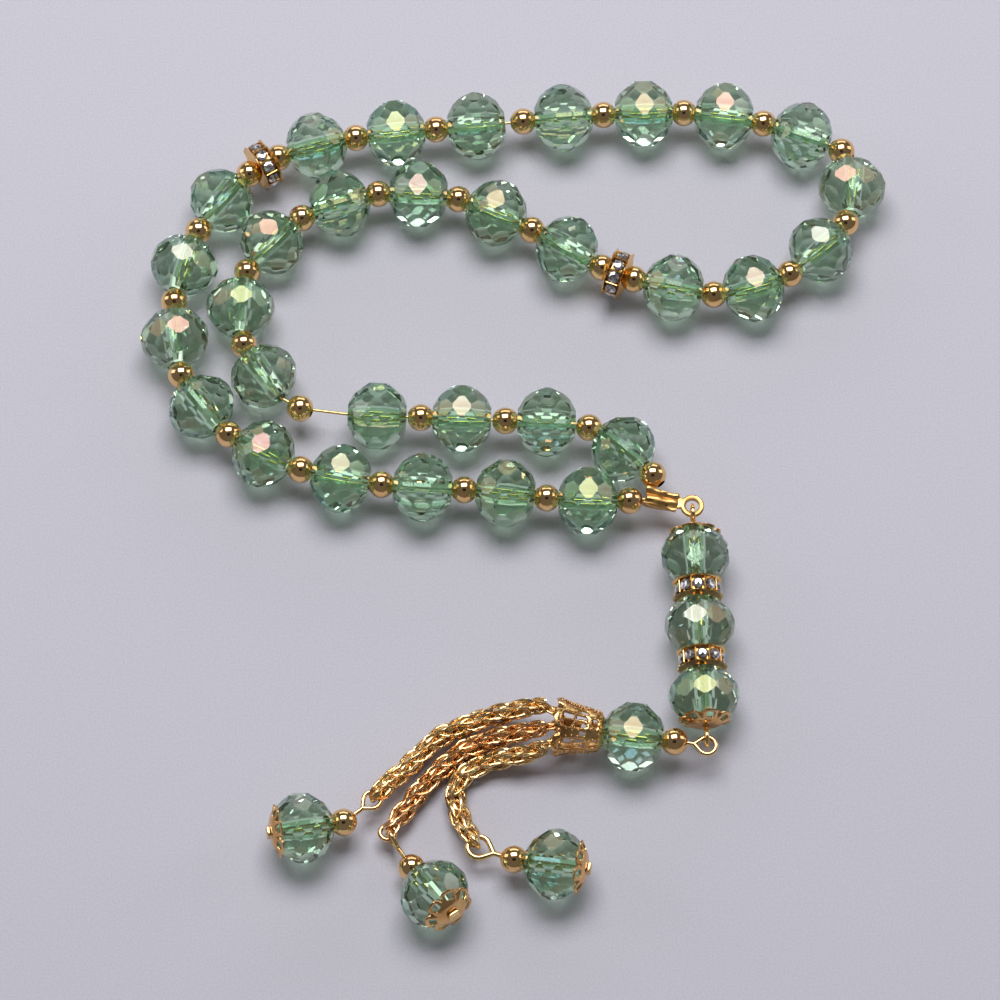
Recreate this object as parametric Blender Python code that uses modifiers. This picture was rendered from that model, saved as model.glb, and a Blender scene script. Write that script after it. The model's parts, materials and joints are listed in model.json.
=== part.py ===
"""Prayer beads: a loop of cut-glass beads and small metal balls on one soft wire,
with two stone-set dividers, a folded end clamp, and a pendant of a beaded bar, a link,
a bell cap, three rope chains and three drops. Lying flat on a table, +Z up.

Lengths are given in millimetres and multiplied by MM, because Blender works in metres.
"""

import math

import bmesh
import bpy
from mathutils import Matrix, Vector

MM = 0.001
UP = Vector((0.0, 0.0, 1.0))

# Cut-glass bead: seven flats round the middle, and two rings of slanted facets each side.
FACETS = 7
CRYSTAL_RADIUS = 4.0 * MM  # to the corners of its middle
CRYSTAL_LENGTH = 6.3 * MM
CRYSTAL_BORE = 0.5 * MM  # radius
SHOULDER_ANGLE = math.radians(25.0)  # how far the inner ring's facets lean
END_ANGLE = math.radians(56.0)  # how far the outer ring's facets lean
FLAT_HALF_HEIGHT = 1.32 * MM  # half the length of a middle flat, along the bore
FLAT_RADIUS = CRYSTAL_RADIUS * math.cos(math.pi / FACETS)  # bore to a middle flat

# Everything is threaded at the height of a bead that rests on one of its flats.
WIRE_HEIGHT = FLAT_RADIUS

# Metal balls, wires and pins.
BALL_RADIUS = 1.45 * MM
BALL_BORE = 0.42 * MM
WIRE_RADIUS = 0.21 * MM
PIN_RADIUS = 0.27 * MM
FIT_GAP = 0.1 * MM  # between neighbours on a pin

# Stone-set divider, a short turned ring with dished sides.
DIVIDER_RADIUS = 2.9 * MM
DIVIDER_THICKNESS = 2.05 * MM
DIVIDER_RIM = 0.3 * MM
DIVIDER_SEAT = 0.8 * MM  # how much of the wire lies between the two balls at a divider

# Flower cap: a thin dish with petals.
PETALS = 6
CAP_RADIUS = 3.05 * MM
CAP_WALL = 0.25 * MM
CAP_GAP = 0.15 * MM

# Bell cap at the top of the chains.
BELL_LENGTH = 5.9 * MM
BELL_NECK = 2.0 * MM
BELL_MOUTH = 3.4 * MM
BELL_WALL = 0.4 * MM

# The loop's route seen from above, in millimetres, from the clamp round and back to it.
LOOP_ROUTE = (
    (16.8, 1.0), (15.8, 2.0), (12.5, 5.95), (8.4, 8.2), (7.0, 8.6), (3.5, 8.7), (-6.0, 9.1),
    (-15.5, 9.5), (-19.2, 9.7), (-25.0, 10.4), (-30.0, 15.6), (-32.3, 24.0), (-28.2, 32.2), (-20.2, 36.9), (-10.6, 38.2),
    (-1.5, 35.2), (6.3, 30.6), (11.6, 27.7), (18.2, 25.8), (27.4, 25.0), (35.5, 30.3),
    (38.8, 34.0), (39.6, 38.5), (39.2, 43.4), (34.9, 45.0), (26.0, 48.1), (16.5, 48.5), (7.0, 48.0),
    (-3.4, 46.9), (-13.3, 45.9), (-22.9, 44.5), (-28.9, 42.0), (-33.9, 37.8), (-38.2, 30.0),
    (-39.6, 20.5), (-37.0, 11.4), (-29.6, 5.0), (-20.3, 1.6), (-10.6, 0.6), (-1.0, -0.1),
    (8.6, -1.4), (13.5, -1.0), (15.0, -0.8),
)
SEGMENTS = (11, 11, 9)  # glass beads between the clamp, the two dividers and the clamp
# Bare wire left between beads: (which bead on the thread it follows, how much).
SLACK = {2: 0.25 * MM, 4: 0.25 * MM, 6: 0.25 * MM, 7: 4.3 * MM, 8: 1.3 * MM, 31: 0.5 * MM,
         32: 0.4 * MM, 40: 0.8 * MM}
ROW = range(3, 8)  # the beads on the thread that slide as one row

# Clamp and pendant, seen from above.
CLAMP_CENTRE = Vector((17.2, -1.0, 0.0)) * MM
CLAMP_HEADING = math.radians(-14.0)
CLAMP_SIZE = Vector((3.2, 2.2, 1.5)) * MM
CLAMP_SHEET = 0.32 * MM
CLAMP_RING_OFFSET = 3.2 * MM
CLAMP_RING = (0.75 * MM, 1.35 * MM, 0.55 * MM)  # hole radius, outer radius, thickness

BAR_HEADING = math.radians(-87.5)
BAR_CRYSTAL_START = 6.1 * MM  # from the clamp's hole to the first glass bead's centre
BAR_PITCH = CRYSTAL_LENGTH + DIVIDER_THICKNESS + 2 * FIT_GAP
BAR_LENGTH = 29.2 * MM  # from the clamp's hole to the link's hinge
LINK_HEADING = math.radians(172.3)
LINK_BALL_START = 3.7 * MM
EYE_RADIUS = 0.85 * MM  # of the wire's middle, round the hinge
EYE_LENGTH = 2.3 * MM  # from the hinge to where the eye closes

# Each chain's route as (x, y, z), from just inside the bell to its end ring, its radii
# there, and the heading of its end ring from the ring's middle to the hinge.
CHAIN_RADII = (0.5, 0.6, 0.7, 1.0, 1.15)
CHAINS = {
    "back": [(4.7, -26.9, 3.6), (3.9, -26.5, 3.5), (3.0, -26.1, 3.3), (2.1, -26.0, 3.0),
             (0.9, -26.1, 2.6), (-1.0, -26.4, 2.0), (-3.3, -26.8, 1.4), (-5.5, -27.6, 1.15),
             (-7.7, -28.6, 1.15), (-9.5, -29.9, 1.15), (-11.1, -31.6, 1.15),
             (-12.7, -33.3, 1.4), (-14.0, -34.7, 1.9), (-14.8, -35.6, 2.3)],
    "middle": [(4.6, -28.5, 3.6), (3.8, -28.6, 3.5), (2.9, -28.7, 3.2), (2.0, -28.8, 2.9),
               (0.9, -28.9, 2.5), (-1.0, -29.1, 1.9), (-2.9, -29.5, 1.4), (-4.7, -30.1, 1.15),
               (-6.3, -31.0, 1.15), (-7.7, -32.3, 1.15), (-9.1, -33.7, 1.15),
               (-10.4, -35.2, 1.15), (-11.6, -36.8, 1.15), (-12.9, -38.6, 1.3),
               (-13.7, -39.8, 1.7)],
    "front": [(4.5, -30.3, 3.6), (3.7, -30.7, 3.5), (2.8, -31.1, 3.2), (1.9, -31.4, 2.8),
              (0.8, -31.6, 2.4), (-1.0, -31.7, 1.8), (-2.9, -32.1, 1.3), (-4.5, -32.8, 1.15),
              (-5.8, -33.8, 1.15), (-6.5, -35.0, 1.15), (-6.6, -36.4, 1.15),
              (-6.3, -38.0, 1.3), (-5.7, -39.6, 1.7), (-5.0, -41.0, 2.2)],
}
END_RING = (0.85 * MM, 0.3 * MM)  # radius of its middle, and of its wire
# Each drop: heading of its end ring, of its eye, and of its pin, the pin's rise, and
# whether the eye stands upright in a ring that lies flat.
DROPS = {
    "back": (-131.0, -137.0, 191.0, 8.0, False),
    "middle": (-58.0, -58.0, -54.0, 20.0, True),
    "front": (-50.0, -24.0, -10.0, 8.0, False),
}
DROP_BALL_START = 4.3 * MM


# ---------------------------------------------------------------- scene and materials

def clear_scene():
    for obj in list(bpy.data.objects):
        bpy.data.objects.remove(obj)


def new_collection(name):
    collection = bpy.data.collections.new(name)
    bpy.context.scene.collection.children.link(collection)
    return collection


def new_material(name, color, metallic, roughness, transmission=0.0):
    made = bpy.data.materials.new(name)
    made.use_nodes = True
    shader = made.node_tree.nodes["Principled BSDF"]
    shader.inputs["Base Color"].default_value = (*color, 1.0)
    shader.inputs["Metallic"].default_value = metallic
    shader.inputs["Roughness"].default_value = roughness
    shader.inputs["Transmission Weight"].default_value = transmission
    made.diffuse_color = (*color, 1.0)
    return made


clear_scene()
BEADS = new_collection("prayer_beads")
CUTTERS = new_collection("cutters")
GLASS = new_material("green_glass", (0.45, 0.78, 0.6), 0.0, 0.05, 0.9)
GOLD = new_material("polished_gold", (0.9, 0.62, 0.28), 1.0, 0.15)
SILVER_STONE = new_material("stone_set_gold", (0.85, 0.75, 0.6), 0.9, 0.2)
CHAIN_GOLD = new_material("chain_gold", (0.85, 0.52, 0.2), 1.0, 0.25)


def add_object(name, mesh, material, collection=BEADS):
    obj = bpy.data.objects.new(name, mesh)
    collection.objects.link(obj)
    if not mesh.materials:
        mesh.materials.append(material)
    if collection is CUTTERS:
        obj.hide_render = True
        obj.display_type = "WIRE"
    return obj


def add_pivot(name, place):
    """An empty on a joint's axis, which the joint's pieces are parented to."""
    pivot = bpy.data.objects.new(name, None)
    pivot.empty_display_size = 2.0 * MM
    pivot.location = place
    BEADS.objects.link(pivot)
    return pivot


def hang_on(piece, pivot):
    piece.parent = pivot
    piece.matrix_parent_inverse = Matrix.Translation(-pivot.location)


def heading(angle, rise=0.0):
    flat = math.cos(rise)
    return Vector((math.cos(angle) * flat, math.sin(angle) * flat, math.sin(rise)))


def turned_to(axis):
    """The rotation that takes Z to this axis, with Y kept as nearly upright as it can be."""
    z = axis.normalized()
    y = (UP - z * UP.dot(z)).normalized()
    x = y.cross(z)
    return Matrix((x, y, z)).transposed().to_4x4()


def put(obj, place, axis):
    obj.matrix_world = Matrix.Translation(place) @ turned_to(axis)


# ---------------------------------------------------------------- shape helpers

def finished_mesh(obj, name):
    """The object's mesh with its modifiers applied. The object is removed."""
    bpy.context.view_layer.update()
    graph = bpy.context.evaluated_depsgraph_get()
    mesh = bpy.data.meshes.new_from_object(obj.evaluated_get(graph), depsgraph=graph)
    mesh.name = name
    bpy.data.objects.remove(obj)
    work = bmesh.new()
    work.from_mesh(mesh)
    bmesh.ops.remove_doubles(work, verts=work.verts, dist=0.002 * MM)
    work.to_mesh(mesh)
    work.free()
    return mesh


def smooth(mesh, angle=40.0):
    mesh.shade_smooth()
    mesh.set_sharp_from_angle(angle=math.radians(angle))
    return mesh


def turned_mesh(name, profile, steps):
    """A closed profile of (radius, height), listed from the top down its outer side."""
    work = bmesh.new()
    corners = [work.verts.new((radius, 0.0, height)) for radius, height in profile]
    for a, b in zip(corners, corners[1:] + corners[:1]):
        work.edges.new((a, b))
    mesh = bpy.data.meshes.new(name)
    work.to_mesh(mesh)
    work.free()
    obj = add_object(name, mesh, GOLD)
    screw = obj.modifiers.new("turn", "SCREW")
    screw.steps = steps
    screw.render_steps = steps
    screw.use_merge_vertices = True
    screw.merge_threshold = 0.00001
    return finished_mesh(obj, name)


def rod_mesh(name, radius, low, high, sides):
    work = bmesh.new()
    bmesh.ops.create_cone(work, cap_ends=True, segments=sides, radius1=radius,
                          radius2=radius, depth=high - low,
                          matrix=Matrix.Translation((0.0, 0.0, (low + high) / 2)))
    mesh = bpy.data.meshes.new(name)
    work.to_mesh(mesh)
    work.free()
    return mesh


def ball_mesh(name, radius, turns=10, rings=6):
    work = bmesh.new()
    bmesh.ops.create_uvsphere(work, u_segments=turns, v_segments=rings, radius=radius)
    mesh = bpy.data.meshes.new(name)
    work.to_mesh(mesh)
    work.free()
    return mesh


def tube_mesh(name, points, radius, closed=False, resolution=2, radii=None):
    """A round wire through these points, as a mesh with welded caps."""
    curve = bpy.data.curves.new(name, "CURVE")
    curve.dimensions = "3D"
    curve.bevel_depth = radius
    curve.bevel_resolution = resolution
    curve.use_fill_caps = not closed
    spline = curve.splines.new("POLY")
    spline.points.add(len(points) - 1)
    spline.use_cyclic_u = closed
    for index, point in enumerate(points):
        spline.points[index].co = (*point, 1.0)
        spline.points[index].radius = radii[index] if radii else 1.0
    obj = bpy.data.objects.new(name, curve)
    BEADS.objects.link(obj)
    return finished_mesh(obj, name)


def with_boolean(mesh, name, others, operation):
    """A mesh cut by, or joined with, a list of (mesh, matrix) pairs."""
    obj = add_object(name, mesh, GOLD)
    helpers = []
    for index, (other, matrix) in enumerate(others):
        helper = add_object(f"{name}_cutter_{index}", other, GOLD, CUTTERS)
        helper.matrix_world = matrix
        helpers.append(helper)
        step = obj.modifiers.new("join", "BOOLEAN")
        step.operation = operation
        step.solver = "EXACT"
        step.object = helper
    made = finished_mesh(obj, name)
    for helper in helpers:
        bpy.data.objects.remove(helper)
    return made


def bored(mesh, name, radius, half_length, sides=8):
    """The mesh with a round hole along Z."""
    drill = rod_mesh("drill", radius, -half_length, half_length, sides)
    return with_boolean(mesh, name, [(drill, Matrix.Identity(4))], "DIFFERENCE")


# ---------------------------------------------------------------- glass beads

def facet_planes():
    """The bead's planes as (a point, an outward normal): flats, shoulders and end facets."""
    planes = []
    end_point = Vector((FLAT_RADIUS, FLAT_HALF_HEIGHT))
    for index in range(FACETS):
        flat_angle = 2 * math.pi * index / FACETS - math.pi / 2
        corner_angle = flat_angle + math.pi / FACETS
        flat_way = Vector((math.cos(flat_angle), math.sin(flat_angle), 0.0))
        corner_way = Vector((math.cos(corner_angle), math.sin(corner_angle), 0.0))
        planes.append((flat_way * FLAT_RADIUS, flat_way))
        for side in (-1, 1):
            lean = UP * side
            shoulder = corner_way * math.cos(SHOULDER_ANGLE) + lean * math.sin(SHOULDER_ANGLE)
            planes.append((corner_way * CRYSTAL_RADIUS, shoulder))
            end = flat_way * math.cos(END_ANGLE) + lean * math.sin(END_ANGLE)
            planes.append((flat_way * end_point.x + lean * end_point.y, end))
    return planes


def crystal_mesh():
    """A turned blank ground flat on each facet plane, then drilled along Z."""
    work = bmesh.new()
    bmesh.ops.create_cone(work, cap_ends=True, segments=4 * FACETS, radius1=1.1 * CRYSTAL_RADIUS,
                          radius2=1.1 * CRYSTAL_RADIUS, depth=CRYSTAL_LENGTH)
    for point, normal in facet_planes():
        everything = work.verts[:] + work.edges[:] + work.faces[:]
        cut = bmesh.ops.bisect_plane(work, geom=everything, plane_co=point, plane_no=normal,
                                     clear_outer=True, dist=0.0005 * MM)
        edges = [item for item in cut["geom_cut"] if isinstance(item, bmesh.types.BMEdge)]
        bmesh.ops.edgeloop_fill(work, edges=edges)
    bmesh.ops.dissolve_limit(work, angle_limit=math.radians(1.0), verts=work.verts,
                             edges=work.edges)
    bmesh.ops.recalc_face_normals(work, faces=work.faces)
    mesh = bpy.data.meshes.new("crystal")
    work.to_mesh(mesh)
    work.free()
    made = bored(mesh, "crystal", CRYSTAL_BORE, CRYSTAL_LENGTH)
    made.materials.clear()
    return made


CRYSTAL = crystal_mesh()


def add_crystal(name, place, axis):
    obj = add_object(name, CRYSTAL, GLASS)
    put(obj, place, axis)
    return obj


# ---------------------------------------------------------------- dividers, caps, balls

def divider_mesh():
    """A ring with two thin rims, a sunk band for the stones between them, and dished sides."""
    half = DIVIDER_THICKNESS / 2
    band = DIVIDER_RADIUS - 0.25 * MM
    hole = 0.5 * MM
    dish_depth, dish_inner, dish_outer = 0.55 * MM, 0.7 * MM, 1.65 * MM
    upper = [(dish_outer, half), (DIVIDER_RADIUS, half), (DIVIDER_RADIUS, half - DIVIDER_RIM),
             (band, half - DIVIDER_RIM)]
    lower = [(radius, -height) for radius, height in reversed(upper)]
    inner = [(dish_inner, -half + dish_depth), (hole, -half + dish_depth),
             (hole, half - dish_depth), (dish_inner, half - dish_depth)]
    return smooth(turned_mesh("divider", upper + lower + inner, 14))


def dish_profile():
    """The flower cap's dish: it follows the bead's end facets from a small gap away."""
    flat_z = CRYSTAL_LENGTH / 2 + CAP_GAP
    corner = math.cos(math.pi / FACETS)
    slope = math.tan(END_ANGLE) / corner  # of the ridge between two end facets
    end_shift = FLAT_HALF_HEIGHT * math.tan(END_ANGLE)
    ridge_at_middle = (FLAT_RADIUS + end_shift) / corner
    lift = CAP_GAP * math.hypot(1.0, slope)

    def inner_height(radius):
        return min(flat_z, (ridge_at_middle + lift - radius) / slope)

    hole = PIN_RADIUS + FIT_GAP
    turn = ridge_at_middle + lift - flat_z * slope
    outer = [(radius, inner_height(radius) + CAP_WALL) for radius in (hole, turn + 0.2 * MM)]
    rim = CAP_RADIUS + 0.3 * MM
    outer.append((rim, inner_height(rim) + CAP_WALL))
    inner = [(rim, inner_height(rim)), (turn, flat_z), (hole, flat_z)]
    return outer + inner


def flower_mesh():
    """A flat flower with a round hole in each petal, standing as a tall prism."""
    curve = bpy.data.curves.new("flower", "CURVE")
    curve.dimensions = "2D"
    curve.fill_mode = "BOTH"
    curve.extrude = 5.0 * MM

    def add_outline(points):
        spline = curve.splines.new("POLY")
        spline.points.add(len(points) - 1)
        spline.use_cyclic_u = True
        for item, (x, y) in zip(spline.points, points):
            item.co = (x, y, 0.0, 1.0)

    edge = []
    steps = 5 * PETALS
    for index in range(steps):
        angle = 2 * math.pi * index / steps
        reach = CAP_RADIUS - 0.75 * MM * (1 - abs(math.sin(angle * PETALS / 2))) ** 1.5
        edge.append((reach * math.cos(angle), reach * math.sin(angle)))
    add_outline(edge)
    for petal in range(PETALS):
        angle = 2 * math.pi * (petal + 0.5) / PETALS
        centre = Vector((math.cos(angle), math.sin(angle))) * 2.15 * MM
        add_outline([(centre.x + 0.36 * MM * math.cos(turn), centre.y + 0.36 * MM * math.sin(turn))
                     for turn in [2 * math.pi * k / 5 for k in range(5)]])
    obj = bpy.data.objects.new("flower", curve)
    BEADS.objects.link(obj)
    return finished_mesh(obj, "flower")


def cap_mesh():
    """The dish trimmed to the flower's outline. Its origin is its bead's centre."""
    dish = turned_mesh("dish", dish_profile(), 12)
    place = Matrix.Identity(4)
    made = with_boolean(dish, "flower_cap", [(flower_mesh(), place)], "INTERSECT")
    return smooth(made, 30.0)


DIVIDER = divider_mesh()
FLOWER_CAP = cap_mesh()
for shared in (DIVIDER, FLOWER_CAP):
    shared.materials.clear()


def add_divider(name, place, axis):
    obj = add_object(name, DIVIDER, SILVER_STONE)
    put(obj, place, axis)
    return obj


def add_cap(name, crystal_place, axis):
    """A flower cap on the end of a bead that this axis points to."""
    obj = add_object(name, FLOWER_CAP, GOLD)
    put(obj, crystal_place, axis)
    return obj


# ---------------------------------------------------------------- the loop

def smooth_route(points, step):
    """Points close together on a smooth curve through the given ones."""
    placed = [Vector(point) for point in points]
    ends = [placed[0] * 2 - placed[1]] + placed + [placed[-1] * 2 - placed[-2]]
    route = []
    for before, start, stop, after in zip(ends, ends[1:], ends[2:], ends[3:]):
        count = max(2, round((stop - start).length / step))
        leave, arrive = (stop - before) / 2, (after - start) / 2
        for index in range(count):
            t = index / count
            route.append(start * (2 * t ** 3 - 3 * t ** 2 + 1) + leave * (t ** 3 - 2 * t ** 2 + t)
                         + stop * (3 * t ** 2 - 2 * t ** 3) + arrive * (t ** 3 - t ** 2))
    return route + [placed[-1]]


def walk_chord(route, start, first, length):
    """The point on the route this far from start in a straight line, and the index after it."""
    index = first
    while index < len(route) and (route[index] - start).length < length:
        index += 1
    if index == len(route):
        way = (route[-1] - route[-2]).normalized()
        return start + way * length, index
    inside, outside = (route[index - 1] if index > first else start), route[index]
    low, high = 0.0, 1.0
    for _ in range(30):
        middle = (low + high) / 2
        if (inside.lerp(outside, middle) - start).length < length:
            low = middle
        else:
            high = middle
    return inside.lerp(outside, low), index


def thread_order():
    """The kinds of bead in threading order."""
    order = ["ball"]
    for segment, count in enumerate(SEGMENTS):
        order += ["crystal", "ball"] * count
        if segment < len(SEGMENTS) - 1:
            order += ["divider", "ball"]
    return order


LENGTHS = {"ball": 2 * BALL_RADIUS, "crystal": CRYSTAL_LENGTH, "divider": DIVIDER_SEAT}


def thread(route, play):
    """Each bead as (kind, start, stop) with its ends on the route, and the length left over."""
    placed, point, index = [], route[0], 1
    for number, kind in enumerate(thread_order()):
        stop, index = walk_chord(route, point, index, LENGTHS[kind])
        placed.append((kind, point, stop))
        point, index = walk_chord(route, stop, index, play + SLACK.get(number, 0.0))
    left = 0.0 if index < len(route) else (point - route[-1]).length
    short = sum((b - a).length for a, b in zip(route[index:], route[index + 1:]))
    return placed, short - left


def threaded_beads():
    """The beads with the same play between all of them, so that they fill the route."""
    route = smooth_route([Vector((x, y, 0.0)) * MM + UP * WIRE_HEIGHT for x, y in LOOP_ROUTE],
                         0.4 * MM)
    low, high = 0.0, 0.5 * MM
    for _ in range(24):
        middle = (low + high) / 2
        if thread(route, middle)[1] > 0.0:
            low = middle
        else:
            high = middle
    print("play between beads", round(low / MM, 3), "mm")
    return thread(route, low)[0]


def clamp_frame():
    return (Matrix.Translation(CLAMP_CENTRE + UP * WIRE_HEIGHT)
            @ Matrix.Rotation(CLAMP_HEADING, 4, "Z"))


def loop_wire_points(beads):
    """The wire runs straight through each glass bead and divider and bends at the balls."""
    mouth, inside = -CLAMP_SIZE.x / 2 - 0.3 * MM, -0.3 * MM
    points = [clamp_frame() @ Vector((x, 0.34 * MM, 0.0)) for x in (inside, mouth)]
    for kind, start, stop in beads:
        points += [(start + stop) / 2] if kind == "ball" else [start, stop]
    return points + [clamp_frame() @ Vector((x, -0.34 * MM, 0.0)) for x in (mouth, inside)]


def build_loop():
    beads = threaded_beads()
    wire = tube_mesh("loop_wire", loop_wire_points(beads), WIRE_RADIUS, resolution=1)
    row = add_pivot("bead_row_pivot", (beads[5][1] + beads[5][2]) / 2)
    loose_ball = bored(ball_mesh("loose_ball", BALL_RADIUS), "loose_ball", BALL_BORE,
                       2 * BALL_RADIUS, 6)
    loose_ball.materials.clear()
    smooth(loose_ball)
    fixed, counts = [], {"crystal": 0, "divider": 0, "ball": 0}
    for number, (kind, start, stop) in enumerate(beads):
        middle, axis = (start + stop) / 2, stop - start
        if kind == "ball" and number not in ROW:
            fixed.append((ball_mesh("ball", BALL_RADIUS),
                          Matrix.Translation(middle) @ turned_to(axis)))
            continue
        counts[kind] += 1
        if kind == "crystal":
            obj = add_crystal(f"loop_crystal_{counts[kind]:02d}", middle, axis)
        elif kind == "divider":
            obj = add_divider(f"loop_divider_{counts[kind]}", middle, axis)
        else:
            obj = add_object(f"row_ball_{counts[kind]}", loose_ball, GOLD)
            put(obj, middle, axis)
        if number in ROW:
            hang_on(obj, row)
    joined = with_boolean(wire, "string_wire_with_balls", fixed, "UNION")
    joined.materials.clear()
    add_object("string_wire_with_balls", smooth(joined), GOLD)


# ---------------------------------------------------------------- clamp

def box_mesh(name, low, high):
    work = bmesh.new()
    bmesh.ops.create_cube(work, size=1.0)
    middle = (Vector(low) + Vector(high)) / 2
    size = Vector(high) - Vector(low)
    bmesh.ops.scale(work, vec=size, verts=work.verts)
    bmesh.ops.translate(work, vec=middle, verts=work.verts)
    mesh = bpy.data.meshes.new(name)
    work.to_mesh(mesh)
    work.free()
    return mesh


def build_clamp():
    """A folded sheet, open towards the beads and along its seam, with a ringed tab."""
    half, sheet = CLAMP_SIZE / 2, CLAMP_SHEET
    hole, outer, thickness = CLAMP_RING
    still = Matrix.Identity(4)
    ring_place = Matrix.Translation((CLAMP_RING_OFFSET, 0.0, 0.0))
    neck = box_mesh("neck", (half.x - 0.2 * MM, -0.6 * MM, -thickness / 2),
                    (CLAMP_RING_OFFSET - hole, 0.6 * MM, thickness / 2))
    body = box_mesh("clamp", -half, half)
    body = with_boolean(body, "clamp", [
        (rod_mesh("ring", outer, -thickness / 2, thickness / 2, 20), ring_place),
        (neck, still)], "UNION")
    pocket = box_mesh("pocket", (-half.x - MM, -half.y + sheet, -half.z + sheet),
                      (half.x - sheet, half.y - sheet, half.z - sheet))
    seam = box_mesh("seam", (-half.x - MM, -0.08 * MM, 0.0),
                    (half.x - sheet, 0.08 * MM, half.z + MM))
    body = with_boolean(body, "clamp", [
        (rod_mesh("hole", hole, -MM, MM, 16), ring_place),
        (pocket, still), (seam, still)], "DIFFERENCE")
    body.materials.clear()
    obj = add_object("clamp", smooth(body, 30.0), GOLD)
    obj.matrix_world = clamp_frame()


# ---------------------------------------------------------------- pins

def teardrop(centre, way, up, radius, length, turns=12):
    """Points round a wire eye: round at the hinge, drawn out to a point along the way."""
    side = up.cross(way).normalized()
    tip = centre + way * length
    touch = math.acos(radius / length)  # where the straight legs leave the round end
    points = [tip]
    for index in range(turns + 1):
        angle = touch + (2 * math.pi - 2 * touch) * index / turns
        points.append(centre + (way * math.cos(angle) + side * math.sin(angle)) * radius)
    return points


def pin_mesh(name, eyes, shafts, balls=(), heads=()):
    """Wire eyes, straight shafts, balls and flat heads, joined into one piece of metal."""
    parts = [(tube_mesh("eye", points, PIN_RADIUS, closed=True, resolution=1), Matrix.Identity(4))
             for points in eyes]
    for start, stop in shafts:
        shaft = rod_mesh("shaft", 0.95 * PIN_RADIUS, 0.0, (stop - start).length, 7)
        parts.append((shaft, Matrix.Translation(start) @ turned_to(stop - start)))
    for place, axis in balls:
        parts.append((ball_mesh("ball", BALL_RADIUS, 14, 8),
                      Matrix.Translation(place) @ turned_to(axis)))
    for place, axis in heads:
        disc = rod_mesh("head", 0.75 * MM, 0.0, 0.35 * MM, 12)
        parts.append((disc, Matrix.Translation(place) @ turned_to(axis)))
    first, place = parts[0]
    first.transform(place)
    joined = with_boolean(first, name, parts[1:], "UNION")
    joined.materials.clear()
    return smooth(joined)


# Where a flower cap's outer face is, from its bead's centre, and where a pin's head goes.
CAP_FACE = CRYSTAL_LENGTH / 2 + CAP_GAP + CAP_WALL
HEAD_START = CAP_FACE + 0.08 * MM


def clamp_hole():
    return clamp_frame() @ Vector((CLAMP_RING_OFFSET, 0.0, 0.0))


def build_bar():
    """A straight pin through three glass beads and two dividers, with an eye at each end."""
    hinge, way = clamp_hole(), heading(BAR_HEADING)
    pivot = add_pivot("bar_pivot", hinge)
    end = hinge + way * BAR_LENGTH
    upper = teardrop(hinge + way * 0.95 * MM, way, way.cross(UP), 0.95 * MM, 1.5 * MM)
    lower = teardrop(end - way * 0.95 * MM, -way, way.cross(UP), 0.95 * MM, 1.55 * MM)
    shaft = (hinge + way * 2.3 * MM, end - way * 2.3 * MM)
    pieces = [add_object("bar_pin", pin_mesh("bar_pin", (upper, lower), [shaft]), GOLD)]
    for index in range(3):
        place = hinge + way * (BAR_CRYSTAL_START + index * BAR_PITCH)
        pieces.append(add_crystal(f"bar_crystal_{index + 1}", place, way))
        if index < 2:
            pieces.append(add_divider(f"bar_divider_{index + 1}", place + way * BAR_PITCH / 2, way))
        if index != 1:
            outward = way * (index - 1)
            pieces.append(add_cap(("bar_cap_top", "", "bar_cap_bottom")[index], place, outward))
    for piece in pieces:
        hang_on(piece, pivot)
    return pivot, end


def bell_mesh():
    """A hollow bell along Z, from its neck at zero to its mouth, with a hole for the pin."""
    outer = [(1.3, 0.0), (BELL_NECK / MM, 0.35), (2.35, 1.3), (2.55, 2.4), (2.8, 3.6),
             (3.1, 4.8), (BELL_MOUTH / MM, BELL_LENGTH / MM)]
    wall = BELL_WALL / MM
    inner = [(radius - wall, height) for radius, height in reversed(outer[1:])]
    inner[-1] = (inner[-1][0], wall)
    hole = PIN_RADIUS / MM + 0.12
    profile = outer + inner + [(hole, wall), (hole, 0.0)]
    return smooth(turned_mesh("bell", [(r * MM, -h * MM) for r, h in profile], 20))


def build_link(bar_pivot, hinge):
    """A pin with a ball, a glass bead and the bell that the chains come out of."""
    way = heading(LINK_HEADING)
    pivot = add_pivot("link_pivot", hinge)
    ball = hinge + way * LINK_BALL_START
    crystal = ball + way * (BALL_RADIUS + FIT_GAP + CRYSTAL_LENGTH / 2)
    neck = crystal + way * (CRYSTAL_LENGTH / 2 + FIT_GAP)
    inner_eye = neck + way * 2.6 * MM
    eyes = (teardrop(hinge, way, UP, EYE_RADIUS, EYE_LENGTH),
            teardrop(inner_eye, -way, UP, EYE_RADIUS, 1.6 * MM))
    shaft = (hinge + way * 2.0 * MM, inner_eye - way * 1.3 * MM)
    pin = pin_mesh("link_pin", eyes, [shaft], [(ball, way)])
    bell = bell_mesh()
    bell.materials.clear()
    pieces = [add_object("link_pin", pin, GOLD), add_crystal("link_crystal", crystal, way),
              add_object("bell_cap", bell, GOLD)]
    put(pieces[2], neck, -way)
    for piece in pieces:
        hang_on(piece, pivot)
    hang_on(pivot, bar_pivot)
    return pivot, neck + way * BELL_LENGTH


# ---------------------------------------------------------------- chains and drops

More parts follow.
